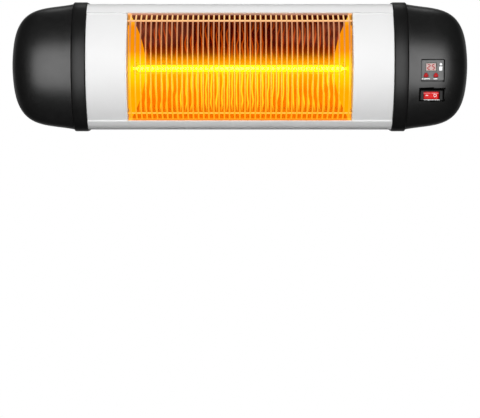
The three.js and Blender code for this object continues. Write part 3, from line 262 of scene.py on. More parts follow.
digit_width = 3.2
digit_height = 6.2
digit_stroke = 1.5
digit_pitch = 6.0
digit_gap = 0.12  # at each end of a bar
digit_thick = 0.12
digit_slant = 0.08  # by which a bar's pointed end is longer than half its stroke
SEGMENTS = {
    "a": ((0, 1), "across"), "b": ((0.5, 0.5), "up"), "c": ((0.5, -0.5), "up"), "d": ((0, -1), "across"),
    "e": ((-0.5, -0.5), "up"), "f": ((-0.5, 0.5), "up"), "g": ((0, 0), "across"),
}
DIGITS = {"2": "abged", "5": "afgcd"}

# Printed marks: a dot as (x, z, radius), and bars as (x, z, width, height, corner)
fascia_dot = (268.9, 3.8, 1.7)
fascia_bars = [
    (268.7, -2.0, 4.1, 5.6, 0.5), (249.1, -15.7, 11.0, 0.95, 0.35), (261.9, -15.7, 5.4, 0.95, 0.35),
]
line_size = (3.6, 0.8, 0.3)  # width, height and corner, as the rocker highlight's
ring_radii = (2.1, 1.4)
rocker_mark_place = 5.4  # from the rocker's middle, as the rocker highlight's
# Painted highlights: a pale-red line on the rocker's faces, and a white line on the bezel under the rocker
rocker_highlight_place = 5.2
rocker_highlight_size = (9.6, 0.75, 0.3)
rocker_highlight_below = 1.9  # how far the painted highlight lies below the rocker's upper edge
switch_highlight_below = 0.95  # how far the painted white line lies below the rocker's lower edge
switch_highlight_size = (0.75, 0.3)  # height and corner of the painted white line

# Screw heads, as shares of the head's own height and radius
head_dome = ((0.35, 1.0), (0.8, 1.0), (1.0, 0.8), (1.0, 0.4))  # control points, as (height, radius)
recess_arms = (1.15, 0.3)
recess_floor = 0.35
recess_corner = 0.1
shank_chamfer = 0.4  # in millimetres

stud_chamfer = 0.5
knob_steps = 144
knob_hub_soft = 0.6
knob_rim = 1.8
knob_dish = ((-0.7, 7.2), (1, 8.9))  # (distance beyond the face, radius)
grip_grooves = 18
grip_groove_steps = 8
grip_groove_depth = 0.45
grip_start = 2  # behind the nose's root
grip_sunk = 0.5  # into the hex body
nose_inset = 0.5
nose_sunk = 3
nose_steps = 12

glow_reach = 72  # the painted glow's colours run from this far below the middle to this far above it

# Camera and light, in metres and in pixels of the photo's frame
frame_pixels = 480
focal_pixels = 1575.9
drop_pixels = 141.95  # of the heater's centre above the frame's centre
camera_reach = 2.1085  # in front of the heater's foremost point
camera_offset = 0.0002
sensor_width = 36  # millimetres
lamp_target = (0, -0.13, 0)


def to_y(depth):
    return -body_standoff - depth


lamp_at = (to_y(lamp_depth), lamp_height)
cap_screw_places = [(to_y(dome_centre_depth), z) for z in (-cap_screw_height, cap_screw_height)]
rocker_at = (rocker_x, to_y(rocker_pivot_depth))


# ---------------------------------------------------------------- mesh helpers


def placed(name, data):
    """A new object of the scene."""
    made = bpy.data.objects.new(name, data)
    bpy.context.scene.collection.objects.link(made)
    return made


def mesh_object(name, points, faces, sharp=sharp_edge):
    """A closed mesh from points in millimetres."""
    mesh = bpy.data.meshes.new(name)
    mesh.from_pydata([Vector(p) * MM for p in points], [], faces)
    return finished(placed(name, mesh), sharp)


def finished(made, sharp=sharp_edge):
    """Faces outwards, shaded smooth with sharp edges marked."""
    work = bmesh.new()
    work.from_mesh(made.data)
    bmesh.ops.remove_doubles(work, verts=work.verts, dist=1e-7)
    bmesh.ops.recalc_face_normals(work, faces=work.faces)
    work.to_mesh(made.data)
    work.free()
    made.data.shade_smooth()
    made.data.set_sharp_from_angle(angle=math.radians(sharp))
    return made


def loft(name, rings, closed=False, tips=(None, None), sharp=sharp_edge):
    """Skins equal rings of points. Open ends are closed by a face, or by a fan to a tip."""
    count = len(rings[0])
    points = [p for ring in rings for p in ring]
    faces = []
    for r in range(len(rings) if closed else len(rings) - 1):
        here, following = r * count, ((r + 1) % len(rings)) * count
        for i in range(count):
            j = (i + 1) % count
            faces.append((here + i, following + i, following + j, here + j))
    if not closed:
        for base, tip in ((0, tips[0]), ((len(rings) - 1) * count, tips[1])):
            if tip is None:
                faces.append(tuple(base + i for i in range(count)))
                continue
            points.append(tip)
            faces += [(base + i, base + (i + 1) % count, len(points) - 1) for i in range(count)]
    return mesh_object(name, points, faces, sharp)


def along_x(name, outline, low, high):
    """A (Y, Z) outline, skinned between two stations of X."""
    return loft(name, [[(x, *p) for p in outline] for x in (low, high)])


def turn(count):
    """Angles of a full turn, in radians."""
    return [2 * math.pi * i / count for i in range(count)]


def arc(x, y, radius, start, end, steps):
    """Points of an arc, its angles in degrees."""
    angles = [math.radians(start + (end - start) * i / steps) for i in range(steps + 1)]
    return [(x + radius * math.cos(a), y + radius * math.sin(a)) for a in angles]


def bezier(p0, p1, p2, p3, steps):
    made = []
    for i in range(steps + 1):
        t = i / steps
        weights = ((1 - t) ** 3, 3 * t * (1 - t) ** 2, 3 * t * t * (1 - t), t ** 3)
        made.append(tuple(sum(w * p[k] for w, p in zip(weights, (p0, p1, p2, p3))) for k in (0, 1)))
    return made


def rounded_rectangle(x, z, width, height, corner, steps=8):
    points = []
    for quarter, (sx, sz) in enumerate(((1, 1), (-1, 1), (-1, -1), (1, -1))):
        middle = (x + sx * (width / 2 - corner), z + sz * (height / 2 - corner))
        points += arc(*middle, corner, 90 * quarter, 90 * quarter + 90, steps)
    return points


def outline_of(part, grow, corner):
    """A part's rectangle with rounded corners, moved outwards on each side."""
    return rounded_rectangle(part.x, part.z, part.width + 2 * grow, part.height + 2 * grow, corner)


def circle(x, y, radius, sides=round_sides):
    return arc(x, y, radius, 0, 360, sides)[:-1]


def hexagon(u, v, radius):
    return arc(u, v, radius, 90, 450, 6)[:-1]


def lobed(u, v, steps, radius_at):
    """A closed outline whose radius depends on the angle."""
    return [(u + radius_at(a) * math.cos(a), v + radius_at(a) * math.sin(a)) for a in turn(steps)]


# Where a flat outline (u, v) with a distance w along its own axis goes, for each axis.
PLACES = {
    "x": lambda u, v, w: (w, u, v),
    "depth": lambda u, v, w: (u, to_y(w), v),
    "y": lambda u, v, w: (u, w, v),
    "z": lambda u, v, w: (u, v, w),
}


def mesh_of(made):
    """An object's mesh, as its modifiers leave it."""
    bpy.context.view_layer.update()
    return bpy.data.meshes.new_from_object(made.evaluated_get(bpy.context.evaluated_depsgraph_get()))


def plate(name, outlines, low, high, axis="depth", bevel=0.0):
    """A flat plate between two stations of an axis. Outlines after the first are holes."""
    flat = bpy.data.curves.new(name, "CURVE")
    flat.dimensions = "2D"
    flat.fill_mode = "BOTH"
    flat.extrude = (high - low) / 2 - bevel
    flat.bevel_depth = bevel
    flat.bevel_resolution = 2
    flat.offset = -bevel
    for outline in outlines:
        spline = flat.splines.new("POLY")
        spline.points.add(len(outline) - 1)
        for point, (u, v) in zip(spline.points, outline):
            point.co = (u, v, 0, 1)
        spline.use_cyclic_u = True
    shown = placed(name, flat)
    mesh = mesh_of(shown)
    bpy.data.objects.remove(shown)
    bpy.data.curves.remove(flat)
    middle = (low + high) / 2
    for vertex in mesh.vertices:
        vertex.co = Vector(PLACES[axis](vertex.co.x, vertex.co.y, vertex.co.z + middle)) * MM
    mesh.name = name
    return finished(placed(name, mesh))


def turned(name, profile, axis, u, v, sides=round_sides):
    """A turned piece: its profile is (distance along the axis, radius), closed on the axis at both ends."""
    rings = [[PLACES[axis](u + radius * math.cos(a), v + radius * math.sin(a), along) for a in turn(sides)]
             for along, radius in profile]
    tips = [PLACES[axis](u, v, profile[k][0]) for k in (0, -1)]
    return loft(name, rings, tips=tips)


def rod(name, radius, low, high, axis, u, v, sides=round_sides):
    return turned(name, [(low, radius), (high, radius)], axis, u, v, sides)


def combine(target, tool, operation):
    """Joins, cuts or intersects two closed meshes, and removes the second."""
    modifier = target.modifiers.new("combine", "BOOLEAN")
    modifier.operation = operation
    modifier.solver = "MANIFOLD"
    modifier.object = tool
    result = mesh_of(target)
    result.name = target.name
    target.modifiers.clear()
    target.data = result
    bpy.data.objects.remove(tool)
    return finished(target)


def cut(target, *tools):
    for tool in tools:
        combine(target, tool, "DIFFERENCE")
    return target


def join(target, *others):
    for other in others:
        combine(target, other, "UNION")
    return target


def drilled(made, radius, low, high, axis, places, sides=round_sides):
    """Cuts round holes between two stations of an axis, each at a place (u, v)."""
    return cut(made, *[rod("hole", radius, low, high, axis, *place, sides) for place in places])


def gather(name, parts):
    """Several meshes as one object, without joining their surfaces."""
    work = bmesh.new()
    for part in parts:
        work.from_mesh(part.data)
        bpy.data.objects.remove(part)
    mesh = bpy.data.meshes.new(name)
    work.to_mesh(mesh)
    work.free()
    return finished(placed(name, mesh))


def mirrored(made, name):
    """A copy on the other side of the middle."""
    other = placed(name, made.data.copy())
    other.data.name = name
    for vertex in other.data.vertices:
        vertex.co.x = -vertex.co.x
    return finished(other)


def bevelled(made, width, angle=40):
    """Rounds an object's sharp edges."""
    modifier = made.modifiers.new("edges", "BEVEL")
    modifier.width = width * MM
    modifier.segments = 2
    modifier.limit_method = "ANGLE"
    modifier.angle_limit = math.radians(angle)
    modifier.harden_normals = True
    return made


# ---------------------------------------------------------------- cross-section


def upper_section():
    """From the front apex over the crown to the top of the flat back."""
    bow_angle = math.asin(step_height / bow_radius)
    bow = arc(bow_centre, 0, bow_radius, 0, math.degrees(bow_angle), bow_steps)
    step = bow[-1]
    handle = (step[0] - lip_pull * math.sin(bow_angle), step[1] + lip_pull * math.cos(bow_angle))
    crown = (crown_depth, half_height)
    lip = bezier(step, handle, (crown_depth + crown_pull, half_height), crown, lip_steps)
    rear = bezier(crown, (crown_depth - rear_pull, half_height), (0, half_height), (0, back_half_height),
                  rear_steps)
    return [*bow, *lip[1:], *rear[1:]]


upper = upper_section()
section = [*upper, *[(d, -h) for d, h in reversed(upper[1:])]]


def on_bow(i):
    return i < bow_steps or i > len(section) - bow_steps


def section_at(offset):
    """The section moved outwards along its edges' normals, by an amount that may differ by point."""
    amount = offset if callable(offset) else lambda i: offset
    moved = []
    for i, point in enumerate(section):
        before = (Vector(point) - Vector(section[i - 1])).normalized()
        after = (Vector(section[(i + 1) % len(section)]) - Vector(point)).normalized()
        bisector = (before + after).normalized()
        stretch = amount(i) / bisector.dot(after)
        moved.append((point[0] + bisector.y * stretch, point[1] - bisector.x * stretch))
    return moved


def ring_at(points, x):
    return [(x, to_y(d), h) for d, h in points]


def side_outline(points):
    """A (depth, height) outline as (Y, Z)."""
    return [(to_y(d), h) for d, h in points]


# ---------------------------------------------------------------- housing, panels, collars


def slot_outer(height):
    mouth, half, floor = slot_mouth / 2, slot_width / 2, slot_lip + slot_cavity
    return [
        (0, height + mouth), (slot_lip, height + mouth), (slot_lip, height + half), (floor, height + half),
        (floor, height - half), (slot_lip, height - half), (slot_lip, height - mouth), (0, height - mouth),
    ]


def slot_inner(height):
    half, floor = slot_width / 2 + housing_wall, slot_lip + slot_cavity + housing_wall
    return [(housing_wall, height + half), (floor, height + half), (floor, height - half),
            (housing_wall, height - half)]


def make_housing():
    outlines = []
    for offset, slot in ((0, slot_outer), (-housing_wall, slot_inner)):
        line = section_at(offset)[bow_steps:len(section) - bow_steps + 1]
        split = len(line) // 2
        outlines.append([*line[:split], *slot(slot_height), *slot(-slot_height), *line[split:]])
    rim, bore = outlines
    made = along_x("housing_shell", side_outline([*rim, *reversed(bore)]), -housing_half, housing_half)
    drilled(made, screw_radius + bolt_clearance, -over, housing_wall + over, "depth",
            [(x, 0) for x in (-lamp_screw_x, lamp_screw_x)], small_sides)
    return bevelled(made, width=0.5)


def make_front_panel():
    """A curved cover whose end at the opening turns in, with a rounded corner, to an end wall."""
    rings = []
    for i in range(corner_steps + 1):
        a = math.radians(90 * i / corner_steps)
        skin = section_at(panel_outer_face - panel_corner * (1 - math.sin(a)))
        rings.append(ring_at(skin, opening_half + panel_corner * (1 - math.cos(a))))
    rings.append(ring_at(section_at(panel_outer_face), housing_half - seat))
    made = loft("front_panel_right_skin", rings)
    stations = (opening_half + panel_wall, housing_half + over)
    cut(made, loft("inside", [ring_at(section_at(panel_inner_face), x) for x in stations]))
    edge, tall = panel_edge_depth, half_height + over
    behind = side_outline([(-over, -tall), (edge, -tall), (edge, tall), (-over, tall)])
    cut(made, plate("behind", [behind], opening_half - over, housing_half + 2 * over, "x"))
    return drilled(made, rail_radius + seat, opening_half - over, opening_half + 3 * over, "x", rail_places())


def make_collar():
    def inside(i):
        return panel_outer_face + seat if on_bow(i) else seat

    edge = collar_proud - collar_chamfer
    low, high = collar_inner_x, collar_outer_x
    flange = high - collar_flange
    shoulder = [
        (0, edge - collar_soft), (collar_soft, edge + collar_soft / 2),
        (collar_chamfer - collar_soft / 2, collar_proud - collar_soft),
        (collar_chamfer + collar_soft, collar_proud),
    ]
    profile = [
        (low, inside),
        *[(low + x, out) for x, out in shoulder], *[(high - x, out) for x, out in reversed(shoulder)],
        (high, -collar_flange_drop), (flange, -collar_flange_drop), (flange, inside),
    ]
    rings = [ring_at(section_at(offset), x) for x, offset in profile]
    made = loft("collar_right_ring", rings, closed=True, sharp=12)
    notches = [(to_y(slot_lip + slot_cavity / 2), z) for z in (-slot_height, slot_height)]
    return drilled(made, slot_cavity, flange - over, high + over, "x", notches, small_sides)


# ---------------------------------------------------------------- domed caps


def dome_rings(offset, length):
    points = section_at(offset)
    curve = bezier((0, 1), dome_shoulder, (dome_length, dome_nose), (dome_length, 0), dome_steps)
    rings = []
    for along, share in curve[:-1]:
        scaled = [(dome_centre_depth + (d - dome_centre_depth) * share, h * share) for d, h in points]
        rings.append(ring_at(scaled, dome_base_x + along / dome_length * (length - seat)))
    return rings


def dome_tip(length):
    return (collar_outer_x + length, to_y(dome_centre_depth), 0)


def dome_filled():
    return loft("filled", dome_rings(0, dome_length), tips=(None, dome_tip(dome_length)))


def make_plain_cap(name):
    inner = dome_length - cap_wall
    shell = [*reversed(dome_rings(-cap_wall, inner)), *dome_rings(0, dome_length)]
    cap = loft(name, shell, tips=(dome_tip(inner), dome_tip(dome_length)))
    start = bulkhead_outer_x + seat
    for at in cap_screw_places:
        post = rod("post", well_radius, dome_base_x, dome_tip_x, "x", *at)
        combine(post, dome_filled(), "INTERSECT")
        join(cap, post, rod("foot", well_radius - seat, start, dome_base_x + over, "x", *at))
    for at in cap_screw_places:
        drilled(cap, well_bore, start + well_floor, dome_tip_x + over, "x", [at])
        drilled(cap, screw_radius + seat, start - over, start + well_floor + over, "x", [at])
    return cap


def within(part, point, margin):
    """Whether a point, seen from the front, lies in a part's rectangle grown by a margin."""
    across, up = part.width / 2 + margin, part.height / 2 + margin
    return abs(point.x - part.x) < across and abs(point.z - part.z) < up


def in_pocket(point):
    """Whether a point of the control cap lies in the panel's or the switch's pocket."""
    in_either = within(fascia, point, margin=0.1) or within(switch_pocket, point, margin=0.6)
    return in_either and point.y < to_y(body_depth / 2)


def make_control_cap():
    """The right cap, with the sunk control panel, the switch pocket and the pad for the cable gland."""
    front = body_depth + 5 * over
    cap = make_plain_cap("end_cap_right_shell")
    switch_floor = bezel.face - bezel.thick - seat
    pockets = ((fascia, fascia_back), (switch_pocket, switch_floor))
    for part, floor in pockets:
        block = plate("block", [outline_of(part, pocket_wall, part.corner + 1)], floor - pocket_floor, front)
        combine(block, dome_filled(), "INTERSECT")
        join(cap, block)
    for part, floor in pockets:
        cut(cap, plate("pocket", [outline_of(part, 0, part.corner)], floor, front))
    window = outline_of(fascia, -pocket_ledge, corner=1)
    opening = outline_of(switch_body, seat, corner=0.4)
    cut(cap, plate("window", [window], fascia_back - pocket_floor - over, front),
        plate("opening", [opening], switch_floor - pocket_floor - over, front))
    join(cap, rod("pad", gland_pad_radius, gland_pad_depth, gland_pad_inner, "depth", *gland_at))
    return drilled(cap, gland_thread_radius + seat, -over, gland_pad_inner + over, "depth", [gland_at])


# ---------------------------------------------------------------- wire guard


def bow_at(height):
    radius = bow_radius - guard_inset
    return (bow_centre + math.sqrt(radius * radius - height * height), height)


guard_bend = Vector(bow_at(guard_bend_height))
guard_leg_end = Vector((trough_rim_depth + reflector_plate + seat + wire_radius / 2, trough_half_height))


def rail_places():
    """The two rails' centres, each behind a point of its leg."""
    lift = wire_radius + rail_radius - weld_depth
    along = (guard_leg_end - guard_bend).normalized()
    point = guard_bend.lerp(guard_leg_end, guard_rail_share)
    return [(to_y(point.x - along.y * lift), side * (point.y + along.x * lift)) for side in (-1, 1)]


def guard_line(bend_parts=6, bow_parts=20):
    """The centre line of one wire, as (depth, height): leg, bend, bow, bend, leg."""
    flat_top = guard_bend_height - guard_bend_radius
    after = guard_bend + (guard_leg_end - guard_bend).normalized() * guard_bend_radius
    before = Vector(bow_at(flat_top))
    half = [tuple(guard_leg_end)]
    for t in (i / bend_parts for i in range(bend_parts + 1)):
        half.append(tuple(after.lerp(guard_bend, t).lerp(guard_bend.lerp(before, t), t)))
    bow = [bow_at(flat_top * (1 - 2 * i / bow_parts)) for i in range(1, bow_parts)]
    return [*half, *bow, *[(d, -h) for d, h in reversed(half)]]


def wire_along(line, x):
    """A round wire along a flat line of (depth, height) points at one X."""
    rings = []
    for i, (depth, height) in enumerate(line):
        along = (Vector(line[min(i + 1, len(line) - 1)]) - Vector(line[max(i - 1, 0)])).normalized()
        ring = []
        for a in turn(wire_sides):
            out = wire_radius * math.cos(a)
            ring.append((x + wire_radius * math.sin(a), to_y(depth + along.y * out), height - along.x * out))
        rings.append(ring)
    return loft("wire", rings)


def make_guard():
    line = guard_line()
    first = -guard_pitch * (guard_wires - 1) / 2
    parts = [wire_along(line, first + i * guard_pitch) for i in range(guard_wires)]
    half = opening_half + guard_rail_end
    ends = [(-half, rail_radius - end_soft), (-half + end_soft, rail_radius), (half - end_soft, rail_radius),
            (half, rail_radius - end_soft)]
    parts += [turned("rail", ends, "x", *place, rail_sides) for place in rail_places()]
    return gather("wire_guard_wires", parts)


# ---------------------------------------------------------------- trough and lamp


def trough_curve(grow):
    line = []
    for i in range(-trough_steps, trough_steps + 1):
        share = i / trough_steps
        line.append((trough_depth - grow + (trough_rim_depth - trough_depth + grow) * share * share,
                     share * (trough_half_height + grow)))
    return line


def height_at(depth, offset):
    """Height of the upper section, moved by an offset, at a depth."""
    line = section_at(offset)[:len(upper)]
    for a, b in zip(line, line[1:]):
        if b[0] <= depth <= a[0]:
            return a[1] + (b[1] - a[1]) * (a[0] - depth) / (a[0] - b[0])
    return half_height


def make_reflector():
    reach = height_at(trough_rim_depth, -(housing_wall + seat)) - seat
    edge = trough_rim_depth + reflector_plate
    outline = side_outline([
        *trough_curve(0), (edge, trough_half_height), (edge, reach - seat), (trough_rim_depth, reach),
        *reversed(trough_curve(reflector_plate)),
        (trough_rim_depth, -reach), (edge, -reach + seat), (edge, -trough_half_height),
    ])
    return along_x("reflector_trough", outline, -opening_half, opening_half)


def make_reflector_end():
    """A leaning plate with a hole for the lamp, cut to the trough's curve."""
    rim, top = opening_half - seat, panel_wall_depth - seat
    foot = rim - end_plate_slope
    slab = [(foot, trough_depth), (rim, top), (rim - reflector_plate, top),
            (foot - reflector_plate, trough_depth)]
    made = plate("reflector_end_right_plate", [[(x, to_y(d)) for x, d in slab]],
                 -trough_half_height, trough_half_height, "z")
    keep = along_x("plug", side_outline(trough_curve(-seat)), foot - end_plate_slope, rim)
    tongue = side_outline([(top, -end_plate_tongue), (lamp_depth, -end_plate_tongue),
                           (lamp_depth, end_plate_tongue), (top, end_plate_tongue)])
    join(keep, plate("tongue", [tongue], foot, rim, "x"))
    combine(made, keep, "INTERSECT")
    return drilled(made, tube_radius + end_plate_hole_gap, foot - end_plate_slope, rim + over, "x", [lamp_at])


def make_tube():
    inner, soft = tube_radius - tube_wall, tube_radius - end_soft
    profile = [(-tube_half, soft), (-tube_half + end_soft, tube_radius), (tube_half - end_soft, tube_radius),
               (tube_half, soft), (tube_half, inner), (-tube_half, inner)]
    rings = [[(x, lamp_at[0] + r * math.cos(a), lamp_at[1] + r * math.sin(a)) for a in turn(round_sides)]
             for x, r in profile]
    return loft("quartz_tube_glass", rings, closed=True)


def make_strip():
    """The glowing strip, a woven carbon band with a fine zigzag along its edges."""
    wide, narrow, shoulder = strip_width / 2, strip_tail / 2, tube_half - strip_tail_length
    edge = [(-tube_half, narrow), (-shoulder - wide, narrow), (-shoulder, wide)]
    for i in range(1, strip_teeth):
        edge.append((-shoulder + 2 * shoulder * i / strip_teeth, wide - (strip_notch if i % 2 else 0)))
    edge += [(shoulder, wide), (shoulder + wide, narrow), (tube_half, narrow)]
    outline = [(x, lamp_height + h) for x, h in [*edge, *[(x, -h) for x, h in reversed(edge)]]]
    half = strip_thickness / 2
    return plate("carbon_strip_band", [outline], lamp_depth - half, lamp_depth + half)


# ---------------------------------------------------------------- control panel


def key_outline(name, grow):
    """A triangle with rounded corners, point up."""
    x, z = key_centres[name]
    reach = key_radius - key_corner
    points = []
    for a in (90, 210, 330):
        middle = (x + reach * math.cos(math.radians(a)), z + reach * math.sin(math.radians(a)))
        points += arc(*middle, key_corner + grow, a - 60, a + 60, bend_steps)
    return points


def make_fascia():
    holes = [*[key_outline(name, seat) for name in key_centres], outline_of(display, seat, corner=0.6)]
    rim = outline_of(fascia, -fascia_gap, fascia.corner - fascia_gap)
    return plate("control_fascia_plate", [rim, *holes], fascia.face - fascia.thick, fascia.face, bevel=0.2)


def make_display_board():
    """The circuit board behind the fascia."""
    outline = outline_of(fascia, pocket_wall / 2, corner=1)
    return plate("display_board_sheet", [outline], board_face - board_plate, board_face, bevel=0.1)


def make_digit_block():
    block = outline_of(display, -seat, corner=0.4)
    return plate("display_digit_block", [block], board_face, digit_face, bevel=0.1)


def make_key_switches():
    """The two small switches under the keys, each with its round plunger."""
    top = fascia_back - key_flange_thick - key_travel - key_switch_gap
    middle = (board_face + top) / 2
    parts = []
    for x, z in key_centres.values():
        case = rounded_rectangle(x, z, key_switch_size, key_switch_size, corner=0.5)
        parts.append(plate("case", [case], board_face, middle, bevel=0.2))
        parts.append(rod("plunger", plunger_radius, middle - 0.5, top, "depth", x, z, small_sides))
    return gather("display_key_switches", parts)


def make_window():
    face = fascia.face - seat
    pane = outline_of(display, 0, corner=0.4)
    return plate("display_window_pane", [pane], face - display.thick, face, bevel=0.1)


def digit_parts(character, x, z):
    """The lit bars of a seven-segment digit."""
    parts = []
    for letter in DIGITS[character]:
        (across, up), way = SEGMENTS[letter]
        middle = (x + across * digit_width, z + up * digit_height / 2)
        half, tip = digit_stroke / 2, digit_stroke / 2 + digit_slant
        reach = (digit_width if way == "across" else digit_height / 2) / 2 - digit_gap
        bar = [(-reach, 0), (-reach + tip, half), (reach - tip, half), (reach, 0), (reach - tip, -half),
               (-reach + tip, -half)]
        if way == "up":
            bar = [(v, u) for u, v in bar][::-1]
        outline = [(middle[0] + u, middle[1] + v) for u, v in bar]
        parts.append(plate("segment", [outline], digit_face, digit_face + digit_thick))
    return parts


def make_digits():
    """Two red digits on the face of the digit block, just behind the window."""
    parts = []
    for side, character in ((-1, "2"), (1, "5")):
        parts += digit_parts(character, display.x + side * digit_pitch / 2, display.z)
    return gather("display_digits", parts)


def make_pictogram():
    """The printed marks of the fascia: a dot over a bar, and a bar under each key."""
    marks = [circle(*fascia_dot, small_sides), *[rounded_rectangle(*bar) for bar in fascia_bars]]
    return gather("fascia_marks", [plate("mark", [m], fascia.face, fascia.face + label_thick) for m in marks])


def make_key(name):
    made = plate(name + "_cap", [key_outline(name, 0)], fascia_back - key_flange_thick / 2,
                 fascia.face + key_proud, bevel=0.35)
    flange = key_outline(name, key_flange)
    return join(made, plate("flange", [flange], fascia_back - key_flange_thick, fascia_back))


# ---------------------------------------------------------------- rocker switch


def across_switch(name, radius, reach):
    """A round bar along the rocker's pivot."""
    return rod(name, radius, rocker_z - reach, rocker_z + reach, "z", *rocker_at, small_sides)


def make_switch_housing():
    under = bezel.face - bezel.thick
    back = under - switch_body.depth
    made = plate("switch_housing_bezel", [outline_of(bezel, 0, corner=1)], under, bezel.face, bevel=0.5)
    join(made, plate("body", [outline_of(switch_body, 0, corner=0.4)], back, under + over))
    for step in (-blade_pitch, 0, blade_pitch):
        blade = rounded_rectangle(rocker_x + step, rocker_z, blade_thick, blade_width, corner=0.1)
        join(made, plate("blade", [blade], back - blade_length, back + over))
    cavity = rounded_rectangle(
        rocker_x, rocker_z, 2 * (rocker_end_radius + seat), rocker_width + 2 * seat, corner=0.3)
    cut(made, plate("cavity", [cavity], rocker_pivot_depth - rocker_well, bezel.face + over))
    return cut(made, across_switch("trunnions", trunnion_radius + seat, switch_body.height / 2 + over))


def turned_about_pivot(points):
    """Points of the rocker's own plan, (across, forward), turned to its pressed position."""
    a = -math.radians(rocker_tilt)
    across, back = (math.cos(a), math.sin(a)), (-math.sin(a), math.cos(a))
    axes = list(zip(rocker_at, across, back))
    return [tuple(at + u * along + v * out for at, along, out in axes) for u, v in points]


def make_rocker():
    """Round ends about the pivot, two shallow faces meeting over it, softened edges, and its trunnions."""
    slope, r = math.tan(math.radians(rocker_tilt)), rocker_end_radius
    square = 1 + slope * slope
    top_x = (-slope * rocker_face_height + math.sqrt(r * r * square - rocker_face_height ** 2)) / square
    top = math.degrees(math.acos(top_x / r))
    plan = [(0, -rocker_face_height), *arc(0, 0, r, -top, rocker_low_angle, lobe_steps),
            (r * rocker_heel, rocker_face_height), (-r * rocker_heel, rocker_face_height),
            *arc(0, 0, r, 180 - rocker_low_angle, 180 + top, lobe_steps)]
    made = plate("rocker_paddle", [turned_about_pivot(plan)], rocker_z - rocker_width / 2,
                 rocker_z + rocker_width / 2, "z", bevel=0.45)
    return join(made, across_switch("pin", trunnion_radius, switch_body.height / 2 - seat))


def on_rocker(name, placed_outlines):
    """Thin outlines laid on the rocker's faces, each with the place of its middle along the rocker."""
    slope = math.tan(math.radians(rocker_tilt))
    marks = []
    for middle, outlines in placed_outlines:
        lift = rocker_face_height + slope * abs(middle)
        sheet = plate("mark", outlines, 0, label_thick, "z")
        tilt = math.atan(slope) * (-1 if middle > 0 else 1)
        for vertex in sheet.data.vertices:
            u, v, w = (c / MM for c in vertex.co)
            across = middle + u * math.cos(tilt)
            forward = -lift - w + u * math.sin(tilt)
            (x, y), = turned_about_pivot([(across, forward)])
            vertex.co = Vector((x, y, rocker_z + v)) * MM
        marks.append(sheet)
    return gather(name, marks)


def make_rocker_marks():
    """The marks for on and off, printed on the rocker's two faces."""
    line = [rounded_rectangle(0, 0, *line_size)]
    ring = [circle(0, 0, radius, small_sides) for radius in ring_radii]
    return on_rocker("rocker_marks", ((-rocker_mark_place, line), (rocker_mark_place, ring)))


def make_rocker_painted_highlight():
    """A painted highlight: a thin pale-red sheet on each of the rocker's faces, near its upper edge."""
    highlight_line = [rounded_rectangle(0, rocker_width / 2 - rocker_highlight_below, *rocker_highlight_size)]
    return on_rocker("rocker_ridge", ((-rocker_highlight_place, highlight_line), (rocker_highlight_place, highlight_line)))


def make_switch_painted_highlight():
    """A painted highlight: a thin white sheet on the bezel, along the lower edge of the switch's opening."""
    low = rocker_z - rocker_width / 2 - switch_highlight_below
    lip = rounded_rectangle(rocker_x, low, 2 * rocker_end_radius, *switch_highlight_size)
    return plate("switch_lip", [lip], bezel.face, bezel.face + label_thick)


# ---------------------------------------------------------------- bracket, yoke and hardware


def channel_plan(half, web_y, arm_y):
    """A U-shaped strip of sheet seen from above, with its two bends."""
    inward = math.copysign(1, arm_y - web_y)
    t, r = bracket_plate, bend_radius

    def bend(start, corner, end):
        first, second = ([a + (c - a) * 2 / 3 for a, c in zip(p, corner)] for p in (start, end))
        return bezier(start, first, second, end, bend_steps)

    outer = [(half, arm_y), *bend((half, web_y + inward * r), (half, web_y), (half - r, web_y))]
    inside = web_y + inward * t
    inner = [*bend((half - r, inside), (half - t, inside), (half - t, web_y + inward * r)), (half - t, arm_y)]
    return [*outer, *[(-x, y) for x, y in reversed(outer)], *[(-x, y) for x, y in reversed(inner)], *inner]


def make_wall_bracket():
    made = plate("wall_bracket_sheet", [channel_plan(ear_outer, 0, -2 * pivot_reach)], -2 * wall_plate_half,
                 2 * wall_plate_half, "z")
    half, ends = bolt_radius + bolt_clearance, (tilt_start, tilt_start + tilt_range)
    side = [(0, -wall_plate_half), (0, wall_plate_half),
            *arc(*pivot_at, sector_radius, ends[0] - sector_beyond, ends[1] + sector_beyond, lobe_steps),
            *arc(*pivot_at, pivot_lobe, *pivot_lobe_arc, lobe_steps), (-bracket_plate, -wall_plate_half)]
    middles = [arc(*pivot_at, slot_arc_radius, a, a, 1)[0] for a in ends]
    slot = [*arc(*pivot_at, slot_arc_radius + half, *ends, lobe_steps),
            *arc(*middles[1], half, ends[1], ends[1] + 180, lobe_steps // 2),
            *arc(*pivot_at, slot_arc_radius - half, *reversed(ends), lobe_steps),
            *arc(*middles[0], half, ends[0] + 180, ends[0] + 360, lobe_steps // 2)]
    ears = plate("ears", [side, slot, circle(*pivot_at, half)], -ear_outer - over, ear_outer + over, "x")
    combine(made, ears, "INTERSECT")
    holes = [(x, z) for x in (-wall_hole_x, wall_hole_x) for z in (-wall_hole_z, wall_hole_z)]
    drilled(made, wall_hole_radius, -2 * bracket_plate, bracket_plate, "y", holes, small_sides)
    return bevelled(made, width=0.35, angle=50)


